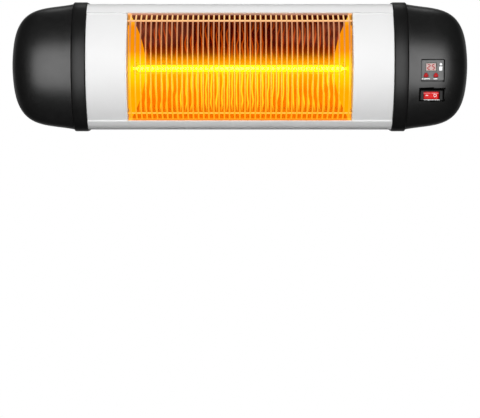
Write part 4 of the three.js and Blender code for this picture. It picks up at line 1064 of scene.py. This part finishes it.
def make_yoke():
    """The folded yoke, with hex nuts welded inside its ears."""
    web = to_y(-seat)
    made = plate("tilt_yoke_sheet", [channel_plan(yoke_half, web, 0)], -2 * yoke_half_height,
                 2 * yoke_half_height, "z")
    side = [(web, yoke_half_height), (web, -yoke_half_height), (web + bracket_plate, -yoke_half_height),
            *arc(*pivot_at, yoke_pivot_lobe, *yoke_pivot_arc, lobe_steps),
            *arc(*stud_at, stud_lobe, *yoke_stud_arc, lobe_steps), (web + bracket_plate, yoke_half_height)]
    combine(made, plate("ears", [side], -yoke_half - over, yoke_half + over, "x"), "INTERSECT")
    drilled(made, yoke_screw_radius + seat, -3 * bracket_plate, over, "depth", yoke_screw_places, small_sides)
    for at in (pivot_at, stud_at):
        for side in (-1, 1):
            low, high = sorted((side * nut_inner_x, side * (yoke_ear_inner + weld_depth)))
            join(made, plate("nut", [hexagon(*at, nut_radius)], low, high, "x", bevel=0.3))
            low, high = sorted((side * (nut_inner_x - over), side * (yoke_half + over)))
            drilled(made, bolt_radius + seat, low, high, "x", [at], small_sides)
    return bevelled(made, width=0.3, angle=50)


def threaded(start, end, radius, pitch=1.0, depth=0.35):
    """Profile of a thread's crests and roots."""
    step = math.copysign(pitch, end - start)
    profile = []
    for i in range(int(abs(end - start) / pitch)):
        profile += [(start + i * step, radius - depth), (start + (i + 0.5) * step, radius)]
    return profile


def make_pivot_bolt():
    under = ear_outer + seat
    plain = nut_inner_x + over
    shank = [*threaded(bolt_tail, plain, bolt_radius), (plain, bolt_radius), (under + over, bolt_radius)]
    made = turned("pivot_bolt_right_shank", shank, "x", *pivot_at, small_sides)
    head = hexagon(*pivot_at, nut_radius)
    return join(made, plate("head", [head], under, under + nut_thick, "x", bevel=0.45))


def make_clamp_stud():
    chamfer = [(stud_top - stud_chamfer, bolt_radius), (stud_top, bolt_radius - stud_chamfer)]
    profile = [*threaded(bolt_tail, knob_x, bolt_radius), (knob_x, bolt_radius), *chamfer]
    return turned("clamp_stud_right_thread", profile, "x", *stud_at, small_sides)


def make_clamp_washer():
    rings = [circle(*stud_at, radius) for radius in (washer_radius, bolt_radius + seat)]
    return plate("clamp_washer_right_disc", rings, washer_x, washer_x + washer_thick, "x", bevel=0.2)


def make_clamp_knob():
    """A lobed hand knob with a soft rim, a hub and a shallow dish in its face."""
    grip = lobed(*stud_at, knob_steps,
                 lambda a: knob_radius - knob_lobe_height + knob_lobe_height * math.cos(knob_lobes * a))
    low, high = knob_x + knob_hub_length, knob_x + knob_hub_length + knob_head_length
    made = plate("clamp_knob_right_grip", [grip], low, high, "x", knob_rim)
    hub = [(knob_x, knob_hub_radius - knob_hub_soft), (knob_x + knob_hub_soft, knob_hub_radius),
           (low + 2 * over, knob_hub_radius)]
    join(made, turned("hub", hub, "x", *stud_at))
    cut(made, turned("dish", [(high + beyond, radius) for beyond, radius in knob_dish], "x", *stud_at))
    return drilled(made, bolt_radius + seat, knob_x - over, stud_top + seat, "x", [stud_at], small_sides)


def make_screw(name, axis, at, shank, under, out, head):
    """A pan-head screw with a cross recess. Its head stands out along the axis, in the direction out."""
    (shank_radius, shank_end), (radius, height) = shank, head
    profile = [(shank_end, shank_radius - shank_chamfer), (shank_end + out * shank_chamfer, shank_radius),
               (under, shank_radius), (under, radius)]
    profile += [(under + out * h * height, r * radius) for h, r in bezier(*head_dome, bend_steps)]
    made = turned(name, profile, axis, *at, small_sides)
    low, high = sorted((under + out * height * recess_floor, under + out * (height + over)))
    for width, tall in (recess_arms, reversed(recess_arms)):
        slot = rounded_rectangle(*at, width * radius, tall * radius, recess_corner * radius)
        cut(made, plate("recess", [slot], low, high, axis))
    return made


def make_cap_screw(name, at):
    return make_screw(f"cap_screw_{name}_right_head", "x", at,
                      (screw_radius, bulkhead_outer_x - bulkhead_plate - screw_bite),
                      bulkhead_outer_x + seat + well_floor + seat, 1, (screw_head_radius, screw_head_height))


def make_lamp_bracket_screw():
    return make_screw("lamp_bracket_screw_right_head", "depth", (lamp_screw_x, 0),
                      (screw_radius, housing_wall + lamp_bracket_plate + screw_bite), -seat, -1,
                      (screw_head_radius, screw_head_height))


def make_yoke_screw(number, at):
    return make_screw(f"yoke_screw_{number}_head", "depth", at,
                      (yoke_screw_radius, slot_lip + slot_cavity - seat),
                      -2 * seat - bracket_plate, -1, (yoke_screw_head, yoke_screw_height))


def make_cable_gland():
    """A hex body, a grooved cap nut with a rounded nose, and a thread, all round one bore."""
    under = gland_pad_depth - seat
    hex_end = under - gland_hex_thick
    cap_end = hex_end - gland_cap_length
    tip = cap_end - gland_nose_length
    end = gland_pad_inner + gland_nut_thick + gland_thread_beyond
    made = plate("cable_gland_body", [hexagon(*gland_at, gland_hex_radius)], hex_end, under, bevel=0.6)
    thread = [*threaded(end, under + over, gland_thread_radius, pitch=1.5, depth=0.6),
              (under - over, gland_thread_radius)]
    join(made, turned("thread", thread, "depth", *gland_at))
    grip = lobed(*gland_at, grip_grooves * grip_groove_steps,
                 lambda a: gland_cap_radius - grip_groove_depth * max(0, math.cos(grip_grooves * a)) ** 4)
    join(made, plate("grip", [grip], cap_end + grip_start, hex_end + grip_sunk, bevel=0.3))
    wide = gland_cap_radius - nose_inset
    nose = bezier((cap_end + nose_sunk, wide), (cap_end, wide), (tip, wide - nose_inset),
                  (tip, gland_cap_radius - gland_nose_length), nose_steps)
    join(made, turned("nose", nose, "depth", *gland_at))
    return drilled(made, gland_bore, tip - over, end + over, "depth", [gland_at])


def make_gland_locknut():
    start = gland_pad_inner + seat
    rings = [hexagon(*gland_at, gland_hex_radius), circle(*gland_at, gland_thread_radius + seat)]
    return plate("gland_locknut_hex", rings, start, start + gland_nut_thick, bevel=0.4)


# ---------------------------------------------------------------- shader nodes


def feed(tree, socket, value):
    """Gives a socket a value, or links another node's output to it."""
    if isinstance(value, bpy.types.NodeSocket):
        tree.links.new(value, socket)
    else:
        socket.default_value = value


def add_node(tree, kind, inputs=None, **settings):
    """A shader node. Its inputs are values or outputs of other nodes."""
    node = tree.nodes.new("ShaderNode" + kind)
    for key, value in settings.items():
        setattr(node, key, value)
    for key, value in (inputs or {}).items():
        feed(tree, node.inputs[key], value)
    return node


def shader_of(made):
    return made.node_tree.nodes["Principled BSDF"]


def put(made, **sockets):
    """Feeds inputs of a material's shader, named with _ for a space."""
    for key, value in sockets.items():
        feed(made.node_tree, shader_of(made).inputs[key.replace("_", " ")], value)
    return made


def rgba(color):
    """A colour, or a grey given as one number."""
    return (*color, 1) if isinstance(color, tuple) else (color, color, color, 1)


def material(name, color, roughness, **sockets):
    made = bpy.data.materials.new(name)
    made.use_nodes = True
    return put(made, Base_Color=rgba(color), Roughness=roughness, **sockets)


def stretched(made, stretch):
    """Places on the object, scaled by axis."""
    return add_node(made.node_tree, "Mapping", {"Scale": stretch, "Vector": place_on(made)}).outputs["Vector"]


def place_on(made):
    nodes = made.node_tree.nodes
    return (nodes.get("Texture Coordinate") or nodes.new("ShaderNodeTexCoord")).outputs["Object"]


def noise(made, scale, detail=3.0, stretch=(1, 1, 1)):
    """A noise texture over the object, its scale in features per metre."""
    inputs = {"Scale": scale, "Detail": detail, "Vector": stretched(made, stretch)}
    return add_node(made.node_tree, "TexNoise", inputs).outputs["Fac"]


def ramp(made, value, stops):
    """A colour ramp of (position, colour or grey)."""
    node = add_node(made.node_tree, "ValToRGB", {"Fac": value})
    elements = node.color_ramp.elements
    while len(elements) < len(stops):
        elements.new(0.5)
    for element, (position, color) in zip(elements, stops):
        element.position = position
        element.color = rgba(color)
    return node.outputs["Color"]


def spread(made, scale, low, high, stretch=(1, 1, 1)):
    """Noise over the object, between two colours or greys."""
    return ramp(made, noise(made, scale, stretch=stretch), [(0.3, low), (0.7, high)])


def share_along(made, axis, low, high):
    """0 to 1 over a range of an axis, in millimetres. X counts from the middle to both ends."""
    tree = made.node_tree
    place = add_node(tree, "SeparateXYZ", {"Vector": place_on(made)}).outputs[axis]
    if axis == "X":
        place = add_node(tree, "Math", {0: place}, operation="ABSOLUTE").outputs[0]
    span = {"From Min": low * MM, "From Max": high * MM, "Value": place}
    return add_node(tree, "MapRange", span).outputs["Result"]


def between(made, low, rise, fall, high):
    """0 at two heights, 1 between two heights inside them, in millimetres."""
    span = high - low
    stops = [(0.0, 0.0), ((rise - low) / span, 1.0), ((fall - low) / span, 1.0), (1.0, 0.0)]
    return ramp(made, share_along(made, "Z", low, high), stops)


def mix_of(tree, factor, low, high):
    """A number from low to high by a factor. Low and high are numbers or outputs."""
    return add_node(tree, "MapRange", {"Value": factor, "To Min": low, "To Max": high}).outputs["Result"]


def surface(name, color, roughness, mottle=None, gloss=None, grain=None, **sockets):
    """A material whose colour and gloss vary, each by (noise scale, low, high), with an optional stretch.

    Its grain, a fine bump, is (noise scale, depth in millimetres, strength), with an optional stretch.
    """
    made = material(name, color, roughness, **sockets)
    if mottle:
        put(made, Base_Color=spread(made, *mottle))
    if gloss:
        put(made, Roughness=spread(made, *gloss))
    if grain:
        scale, depth, strength, stretch = (*grain, (1, 1, 1))[:4]
        inputs = {"Strength": strength, "Distance": depth * MM, "Height": noise(made, scale, stretch=stretch)}
        put(made, Normal=add_node(made.node_tree, "Bump", inputs).outputs["Normal"])
    return made


# ---------------------------------------------------------------- plain finishes


def white_paint():
    return surface("white_paint", 0.84, 0.5, (14, 0.83, 0.85), (30, 0.46, 0.54), (900, 0.02, 0.25),
                   Specular_IOR_Level=0.15)


def black_moulding(name="black_moulding", gloss=0.53, roughness=0.35):
    return surface(name, 0.005, roughness, (40, 0.004, 0.006), (120, roughness - 0.02, roughness + 0.03),
                   (2600, 0.015, 0.3), Specular_IOR_Level=gloss)


def powder_black():
    return surface("powder_black", (0.02, 0.02, 0.021), 0.5,
                   (200, (0.017, 0.017, 0.018), (0.025, 0.025, 0.026)),
                   (300, 0.45, 0.6), (1400, 0.05, 0.5))


def zinc_plate():
    return surface("zinc_plate", (0.6, 0.61, 0.63), 0.3, (120, (0.52, 0.54, 0.56), (0.66, 0.66, 0.64)),
                   (260, 0.24, 0.4), (900, 0.02, 0.3), Metallic=1.0)


def fired_ceramic():
    return surface("fired_ceramic", (0.8, 0.77, 0.7), 0.7, (300, (0.74, 0.71, 0.64), (0.84, 0.81, 0.74)),
                   grain=(1200, 0.05, 0.5))


def grey_satin():
    return surface("grey_satin", 0.045, 0.4, (60, 0.04, 0.05), (200, 0.36, 0.46), (2600, 0.01, 0.3))


def smoked_pane():
    return surface("smoked_pane", (0.5, 0.3, 0.28), 0.1, (500, (0.46, 0.27, 0.25), (0.54, 0.33, 0.31)),
                   Alpha=0.1, Specular_IOR_Level=0.05)


def printed_white():
    return surface("printed_white", 0.9, 0.5, (800, 0.86, 0.94))


def gloss_black():
    return surface("gloss_black", 0.006, 0.3, gloss=(300, 0.26, 0.36), grain=(2600, 0.01, 0.2),
                   Specular_IOR_Level=0.12)


def circuit_green():
    return surface("circuit_green", (0.02, 0.13, 0.06), 0.4,
                   (500, (0.012, 0.09, 0.04), (0.03, 0.2, 0.09), (1, 3, 1)),
                   grain=(1400, 0.05, 0.5))


def silicone_sleeve():
    return surface("silicone_sleeve", (0.75, 0.73, 0.68), 0.55, (300, (0.7, 0.68, 0.63), (0.8, 0.78, 0.73)),
                   grain=(900, 0.04, 0.4))


# ---------------------------------------------------------------- finishes with the lamp's light painted in


def glow(made, stops):
    """Painted lamp light: a glow that a piece gives off, coloured by height in millimetres."""
    places = [((height + glow_reach) / (2 * glow_reach), color) for height, color in stops]
    colors = ramp(made, share_along(made, "Z", -glow_reach, glow_reach), places)
    return put(made, Emission_Color=colors, Emission_Strength=1.0)


def add_glow(made, color, share):
    """Adds a share of a colour to a piece's painted glow."""
    so_far = shader_of(made).inputs["Emission Color"].links[0].from_socket
    mix = add_node(made.node_tree, "Mix", data_type="RGBA", blend_type="ADD")
    for socket, value in zip((s for s in mix.inputs if s.enabled), (share, so_far, color)):
        feed(made.node_tree, socket, value)
    return put(made, Emission_Color=next(s for s in mix.outputs if s.enabled))


def painted_wire_reflections(made, waver, color):
    """Painted reflections of the guard's wires in the wavy trough: thin upright lines that wander."""
    lines = add_node(made.node_tree, "TexWave", {
        "Vector": stretched(made, (1, 1, 0.5)), "Scale": 2 * math.pi / (20 * guard_pitch * MM),
        "Distortion": waver, "Detail": 1.0, "Detail Scale": 1.0,
    })
    return ramp(made, lines.outputs["Fac"], [(0.7, 0.0), (0.95, color)])


def heated_metal():
    """The polished, mirror-like trough, with the lamp's light painted in: deep red above the lamp, amber
    below, and painted reflections of the wires.
    """
    made = surface("heated_metal", (0.1, 0.03, 0.003), 0.14, gloss=(60, 0.1, 0.18, (0.15, 1, 1)),
                   grain=(45, 0.5, 0.35, (1, 1, 0.4)), Metallic=1.0)
    # Painted shade and light: the base colour is amber below the lamp and near black above it.
    heights = share_along(made, "Z", -glow_reach, glow_reach)
    put(made, Base_Color=ramp(made, heights, [(0.5, (0.16, 0.06, 0.004)), (0.62, (0.01, 0.001, 0.001))]))
    # Painted lamp light: a glow by height, orange below the lamp, amber round it, dark red to near black
    # above it, peach at the upper rim.
    glow(made, [
        (-66, (0.62, 0.11, 0.0)), (-33, (0.5, 0.09, 0.0)), (-10, (0.5, 0.26, 0.0)), (5, (0.52, 0.26, 0.0)),
        (20, (0.2, 0.03, 0.0)), (30, (0.025, 0.0, 0.0)), (69.5, (0.025, 0.0, 0.0)), (71, (0.5, 0.26, 0.18)),
    ])
    # Painted spots of lamp light on the upper trough, fading in upwards from 26 mm and outwards from 40 mm.
    painted_light_spots = ramp(made, noise(made, 11, 2.0, (0.7, 1, 2)), [(0.48, 0.0), (0.7, (0.2, 0.06, 0.03))])
    parts = {0: share_along(made, "Z", 26, 40), 1: share_along(made, "X", 40, 110)}
    add_glow(made, painted_light_spots, add_node(made.node_tree, "Math", parts, operation="MULTIPLY").outputs[0])
    # Painted glow near the trough's ends.
    ends = share_along(made, "X", 144, 148)
    add_glow(made, ramp(made, ends, [(0.0, 0.0), (1.0, (0.6, 0.25, 0.02))]), ends)
    # Painted reflections of the guard's wires, yellow below the lamp and red above it.
    add_glow(made, painted_wire_reflections(made, 3.0, (0.4, 0.5, 0.02)), between(made, -62, -50, -12, 0))
    return add_glow(made, painted_wire_reflections(made, 5.0, (0.4, 0.05, 0.0)), between(made, 8, 18, 40, 66))


def heated_end():
    """The leaning end plates, with the lamp's light on them painted in as an orange to yellow glow by height.
    """
    made = surface("heated_end", (0.12, 0.05, 0.005), 0.3, gloss=(60, 0.26, 0.36), Metallic=1.0)
    return glow(made, [
        (-60, (0.95, 0.39, 0.0)), (-33, (0.95, 0.39, 0.0)), (-10, (0.98, 0.66, 0.0)), (6, (0.97, 0.6, 0.0)),
        (22, (0.93, 0.3, 0.0)), (55, (0.93, 0.28, 0.0)), (66, (0.95, 0.55, 0.03)),
    ])


def guard_wire_metal():
    """Plated wire, with the lamp's light on it painted in as a glow by height."""
    made = surface("guard_wire_metal", (0.2, 0.11, 0.05), 0.35, (300, (0.17, 0.09, 0.04), (0.23, 0.13, 0.06)),
                   (400, 0.3, 0.4), (900, 0.01, 0.2), Metallic=1.0)
    return glow(made, [
        (-62, (0.95, 0.42, 0.015)), (-20, (0.95, 0.5, 0.01)), (6, (0.85, 0.45, 0.01)),
        (22, (0.55, 0.2, 0.05)), (60, (0.56, 0.26, 0.15)), (64, (0.95, 0.6, 0.25)),
    ])


def hot_quartz():
    return surface("hot_quartz", (1.0, 0.78, 0.1), 0.05, (60, (1.0, 0.74, 0.08), (1.0, 0.82, 0.14)), IOR=1.46,
                   Transmission_Weight=1.0, Emission_Color=(1.0, 0.6, 0.02, 1), Emission_Strength=0.17)


def glowing_carbon():
    made = material("glowing_carbon", (0.9, 0.6, 0.05), 0.6, Emission_Strength=5.0)
    return put(made, Emission_Color=spread(made, 700, (1.0, 0.56, 0.006), (1.0, 0.66, 0.009), (0.3, 1, 1)))


def lit_through(name, roughness, strength, specular, mottle):
    """A piece that gives off its own mottled colour."""
    made = material(name, mottle[-1], roughness, Emission_Strength=strength, Specular_IOR_Level=specular)
    color = spread(made, *mottle)
    return put(made, Base_Color=color, Emission_Color=color)


def lit_block():
    """The pale face of the digit block."""
    return lit_through("lit_block", 0.5, 0.3, 0.05, (300, (0.56, 0.43, 0.41), (0.63, 0.5, 0.48)))


def lit_red(name, color, strength):
    return lit_through(name, 0.3, strength, 0.06, (160, tuple(c * 0.8 for c in color), color))


FINISHES = {
    "white_housing": white_paint(),
    "black_cap": black_moulding(),
    "black_steel": powder_black(),
    "zinc": zinc_plate(),
    "polished_reflector": heated_metal(),
    "guard_steel": guard_wire_metal(),
    "tube_glass": hot_quartz(),
    "carbon": glowing_carbon(),
    "ceramic": fired_ceramic(),
    "grey_fascia": grey_satin(),
    "smoke_window": smoked_pane(),
    "red_key": lit_red("red_key_plastic", (0.42, 0.006, 0.008), 0.1),
    "red_rocker": lit_red("red_rocker_plastic", (0.66, 0.01, 0.01), 0.15),
    "black_switch": gloss_black(),
    "circuit_board": circuit_green(),
    "insulation": silicone_sleeve(),
}
DIGIT_RED = lit_red("digit_red", (0.45, 0.006, 0.01), 0.15)
DIGIT_BLOCK = lit_block()
# finish with the lamp's light painted in, for the trough's end plates
END_PLATE_PAINTED_LIGHT = heated_end()
BLACK_BAND = black_moulding("black_band", 0.24, 0.4)
# black without reflections, as painted shade in the control cap's pockets
POCKET_SHADE_BLACK = black_moulding("sunk_black", 0.0, 0.7)
# white for the printed marks, and for the painted highlight under the rocker
PRINT_AND_HIGHLIGHT_WHITE = printed_white()
# pale red that gives off light, for the painted highlight on the rocker
PAINTED_HIGHLIGHT_RED = lit_red("pale_red", (0.85, 0.28, 0.3), 0.15)


# ---------------------------------------------------------------- putting it together


def fit(made, body, slot, *replaced, finish=None):
    """Gives a piece its finish, the body it rides on and the CAD nodes it stands for."""
    made.data.materials.clear()
    made.data.materials.append(finish or FINISHES[slot])
    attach(made, body)
    if replaced:
        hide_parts(*replaced)
    return made


def fit_pair(made, stem, body, slot, finish=None):
    """Fits a piece made for the right end, and its mirror image with the same bevel."""
    suffix = made.name.removeprefix(stem + "_right")
    other = mirrored(made, stem + "_left" + suffix)
    for modifier in made.modifiers:
        bevelled(other, modifier.width / MM, math.degrees(modifier.angle_limit))
    fit(made, body.replace("SIDE", "right"), slot, stem + "_right", finish=finish)
    fit(other, body.replace("SIDE", "left"), slot, stem + "_left", finish=finish)


def dress_cad_nodes():
    slots = {part["node"]: part["material_slot"] for part in frame["record"]["subparts"]}
    for name, node in frame["nodes"].items():
        node.data.materials.clear()
        node.data.materials.append(FINISHES[slots[name]])
        node.data.shade_smooth()
        node.data.set_sharp_from_angle(angle=math.radians(sharp_edge))


def build_shell():
    fit(make_housing(), "heater", "white_housing", "housing")
    fit_pair(make_front_panel(), "front_panel", "heater", "white_housing")
    fit_pair(make_collar(), "collar", "heater", "black_cap", BLACK_BAND)
    left = make_plain_cap("end_cap_blank")
    fit(mirrored(left, "end_cap_left_shell"), "heater", "black_cap", "end_cap_left")
    bpy.data.objects.remove(left)
    cap = fit(make_control_cap(), "heater", "black_cap", "end_cap_right")
    # Painted shade: the pockets' faces take a black without reflections, so that they read as shadow.
    cap.data.materials.append(POCKET_SHADE_BLACK)
    for polygon in cap.data.polygons:
        if in_pocket(polygon.center / MM):
            polygon.material_index = 1


def build_lamp():
    fit(make_guard(), "heater", "guard_steel", "wire_guard")
    fit(make_reflector(), "heater", "polished_reflector", "reflector")
    fit_pair(make_reflector_end(), "reflector_end", "heater", "polished_reflector", END_PLATE_PAINTED_LIGHT)
    fit(make_tube(), "heater", "tube_glass", "quartz_tube")
    fit(make_strip(), "heater", "carbon", "carbon_strip")
    fit_pair(make_lamp_bracket_screw(), "lamp_bracket_screw", "heater", "zinc")


def build_controls():
    fit(make_fascia(), "heater", "grey_fascia", "control_fascia")
    fit(make_window(), "heater", "smoke_window", "display_window")
    fit(make_display_board(), "heater", "circuit_board", "display_board")
    fit(make_digit_block(), "heater", "smoke_window", finish=DIGIT_BLOCK)
    fit(make_key_switches(), "heater", "black_switch")
    fit(make_digits(), "heater", "red_key", finish=DIGIT_RED)
    fit(make_pictogram(), "heater", "grey_fascia", finish=PRINT_AND_HIGHLIGHT_WHITE)
    for name in key_centres:
        fit(make_key(name), name, "red_key", name)
    fit(make_switch_housing(), "heater", "black_switch", "switch_housing")
    fit(make_rocker(), "rocker", "red_rocker", "rocker")
    fit(make_rocker_marks(), "rocker", "red_rocker", finish=PRINT_AND_HIGHLIGHT_WHITE)
    # painted highlight on the rocker
    fit(make_rocker_painted_highlight(), "rocker", "red_rocker", finish=PAINTED_HIGHLIGHT_RED)
    # painted highlight under the rocker
    fit(make_switch_painted_highlight(), "heater", "black_switch", finish=PRINT_AND_HIGHLIGHT_WHITE)


def build_hardware():
    fit(make_wall_bracket(), "wall_bracket", "black_steel", "wall_bracket")
    fit(make_yoke(), "heater", "black_steel", "tilt_yoke")
    for name, at in zip(("upper", "lower"), reversed(cap_screw_places)):
        fit_pair(make_cap_screw(name, at), f"cap_screw_{name}", "heater", "zinc")
    for number, at in enumerate(yoke_screw_places, 1):
        fit(make_yoke_screw(number, at), "heater", "zinc", f"yoke_screw_{number}")
    fit_pair(make_pivot_bolt(), "pivot_bolt", "heater", "zinc")
    fit_pair(make_clamp_washer(), "clamp_washer", "heater", "zinc")
    fit_pair(make_clamp_stud(), "clamp_stud", "clamp_knob_SIDE", "zinc")
    fit_pair(make_clamp_knob(), "clamp_knob", "clamp_knob_SIDE", "black_cap")
    fit(make_cable_gland(), "heater", "black_cap", "cable_gland")
    fit(make_gland_locknut(), "heater", "black_cap", "gland_locknut")


# ---------------------------------------------------------------- floor, light and camera


def make_world(ambient=0.06, room=0.05, backdrop=0.35):
    """White to the camera. Gloss and glass see a soft backdrop behind the heater and a dim room in front."""
    world = bpy.data.worlds.new("studio")
    bpy.context.scene.world = world
    world.use_nodes = True
    tree = world.node_tree
    rays = add_node(tree, "LightPath").outputs
    sky = add_node(tree, "SeparateXYZ", {"Vector": add_node(tree, "TexCoord").outputs["Generated"]})
    behind = add_node(tree, "MapRange", {
        "Value": sky.outputs["Y"], "From Min": 0.5, "From Max": 0.85, "To Min": room, "To Max": backdrop,
    })
    gloss_or_glass = {0: rays["Is Glossy Ray"], 1: rays["Is Transmission Ray"]}
    seen = add_node(tree, "Math", gloss_or_glass, operation="MAXIMUM")
    unseen = mix_of(tree, seen.outputs[0], ambient, behind.outputs["Result"])
    background = tree.nodes["Background"]
    feed(tree, background.inputs["Color"], (1, 1, 1, 1))
    feed(tree, background.inputs["Strength"], mix_of(tree, rays["Is Camera Ray"], unseen, 1.0))


def make_floor(drop=2.0, radius=1.5, sides=96):
    """A pale round floor, well below the heater, in metres."""
    ring = [(radius * math.cos(a) / MM, radius * math.sin(a) / MM, -drop / MM) for a in turn(sides)]
    floor = mesh_object("floor", ring, [tuple(range(sides))])
    made = material("pale_floor", 0.85, 0.8, Emission_Color=(1, 1, 1, 1))
    tree = made.node_tree
    seen = add_node(tree, "LightPath").outputs["Is Camera Ray"]
    put(made, Emission_Strength=mix_of(tree, seen, 0.0, 0.6))
    floor.data.materials.append(made)
    floor.visible_glossy = False


def softbox(name, azimuth, elevation, distance, size, radiance, diffuse=True, glossy=True):
    a, e = math.radians(azimuth), math.radians(elevation)
    away = Vector((math.sin(a) * math.cos(e), -math.cos(a) * math.cos(e), math.sin(e)))
    lamp = bpy.data.lights.new(name, "AREA")
    lamp.shape = "RECTANGLE"
    lamp.size, lamp.size_y = size
    lamp.energy = radiance * math.pi * size[0] * size[1]
    made = placed(name, lamp)
    made.location = Vector(lamp_target) + away * distance
    made.rotation_mode = "QUATERNION"
    made.rotation_quaternion = (-away).to_track_quat("-Z", "Y")
    made.visible_camera = False
    made.visible_diffuse = diffuse
    made.visible_glossy = glossy


def make_camera():
    """The photograph's view: level with the heater, which stands high in the frame."""
    lens = bpy.data.cameras.new("view")
    lens.sensor_width = sensor_width
    lens.sensor_fit = "HORIZONTAL"
    lens.lens = focal_pixels / frame_pixels * sensor_width
    camera = placed("view", lens)
    camera.location = (camera_offset, -(camera_reach + (body_standoff + body_depth) * MM), 0)
    camera.rotation_euler = (math.pi / 2 - math.atan(drop_pixels / focal_pixels), 0, 0)
    bpy.context.scene.camera = camera


bpy.context.scene.view_settings.view_transform = "Standard"
make_camera()
make_world()
make_floor()
softbox("key", azimuth=0, elevation=15, distance=1.9, size=(1.46, 1.46), radiance=6.0, glossy=False)
softbox("gleam", azimuth=0, elevation=0, distance=1.9, size=(3.0, 2.3), radiance=4.3, diffuse=False)
softbox("rim", azimuth=180, elevation=72, distance=2.2, size=(1.8, 0.7), radiance=2.5)
softbox("back_fill", azimuth=180, elevation=5, distance=2.5, size=(2.0, 2.0), radiance=3.4, glossy=False)
dress_cad_nodes()
build_shell()
build_lamp()
build_controls()
build_hardware()
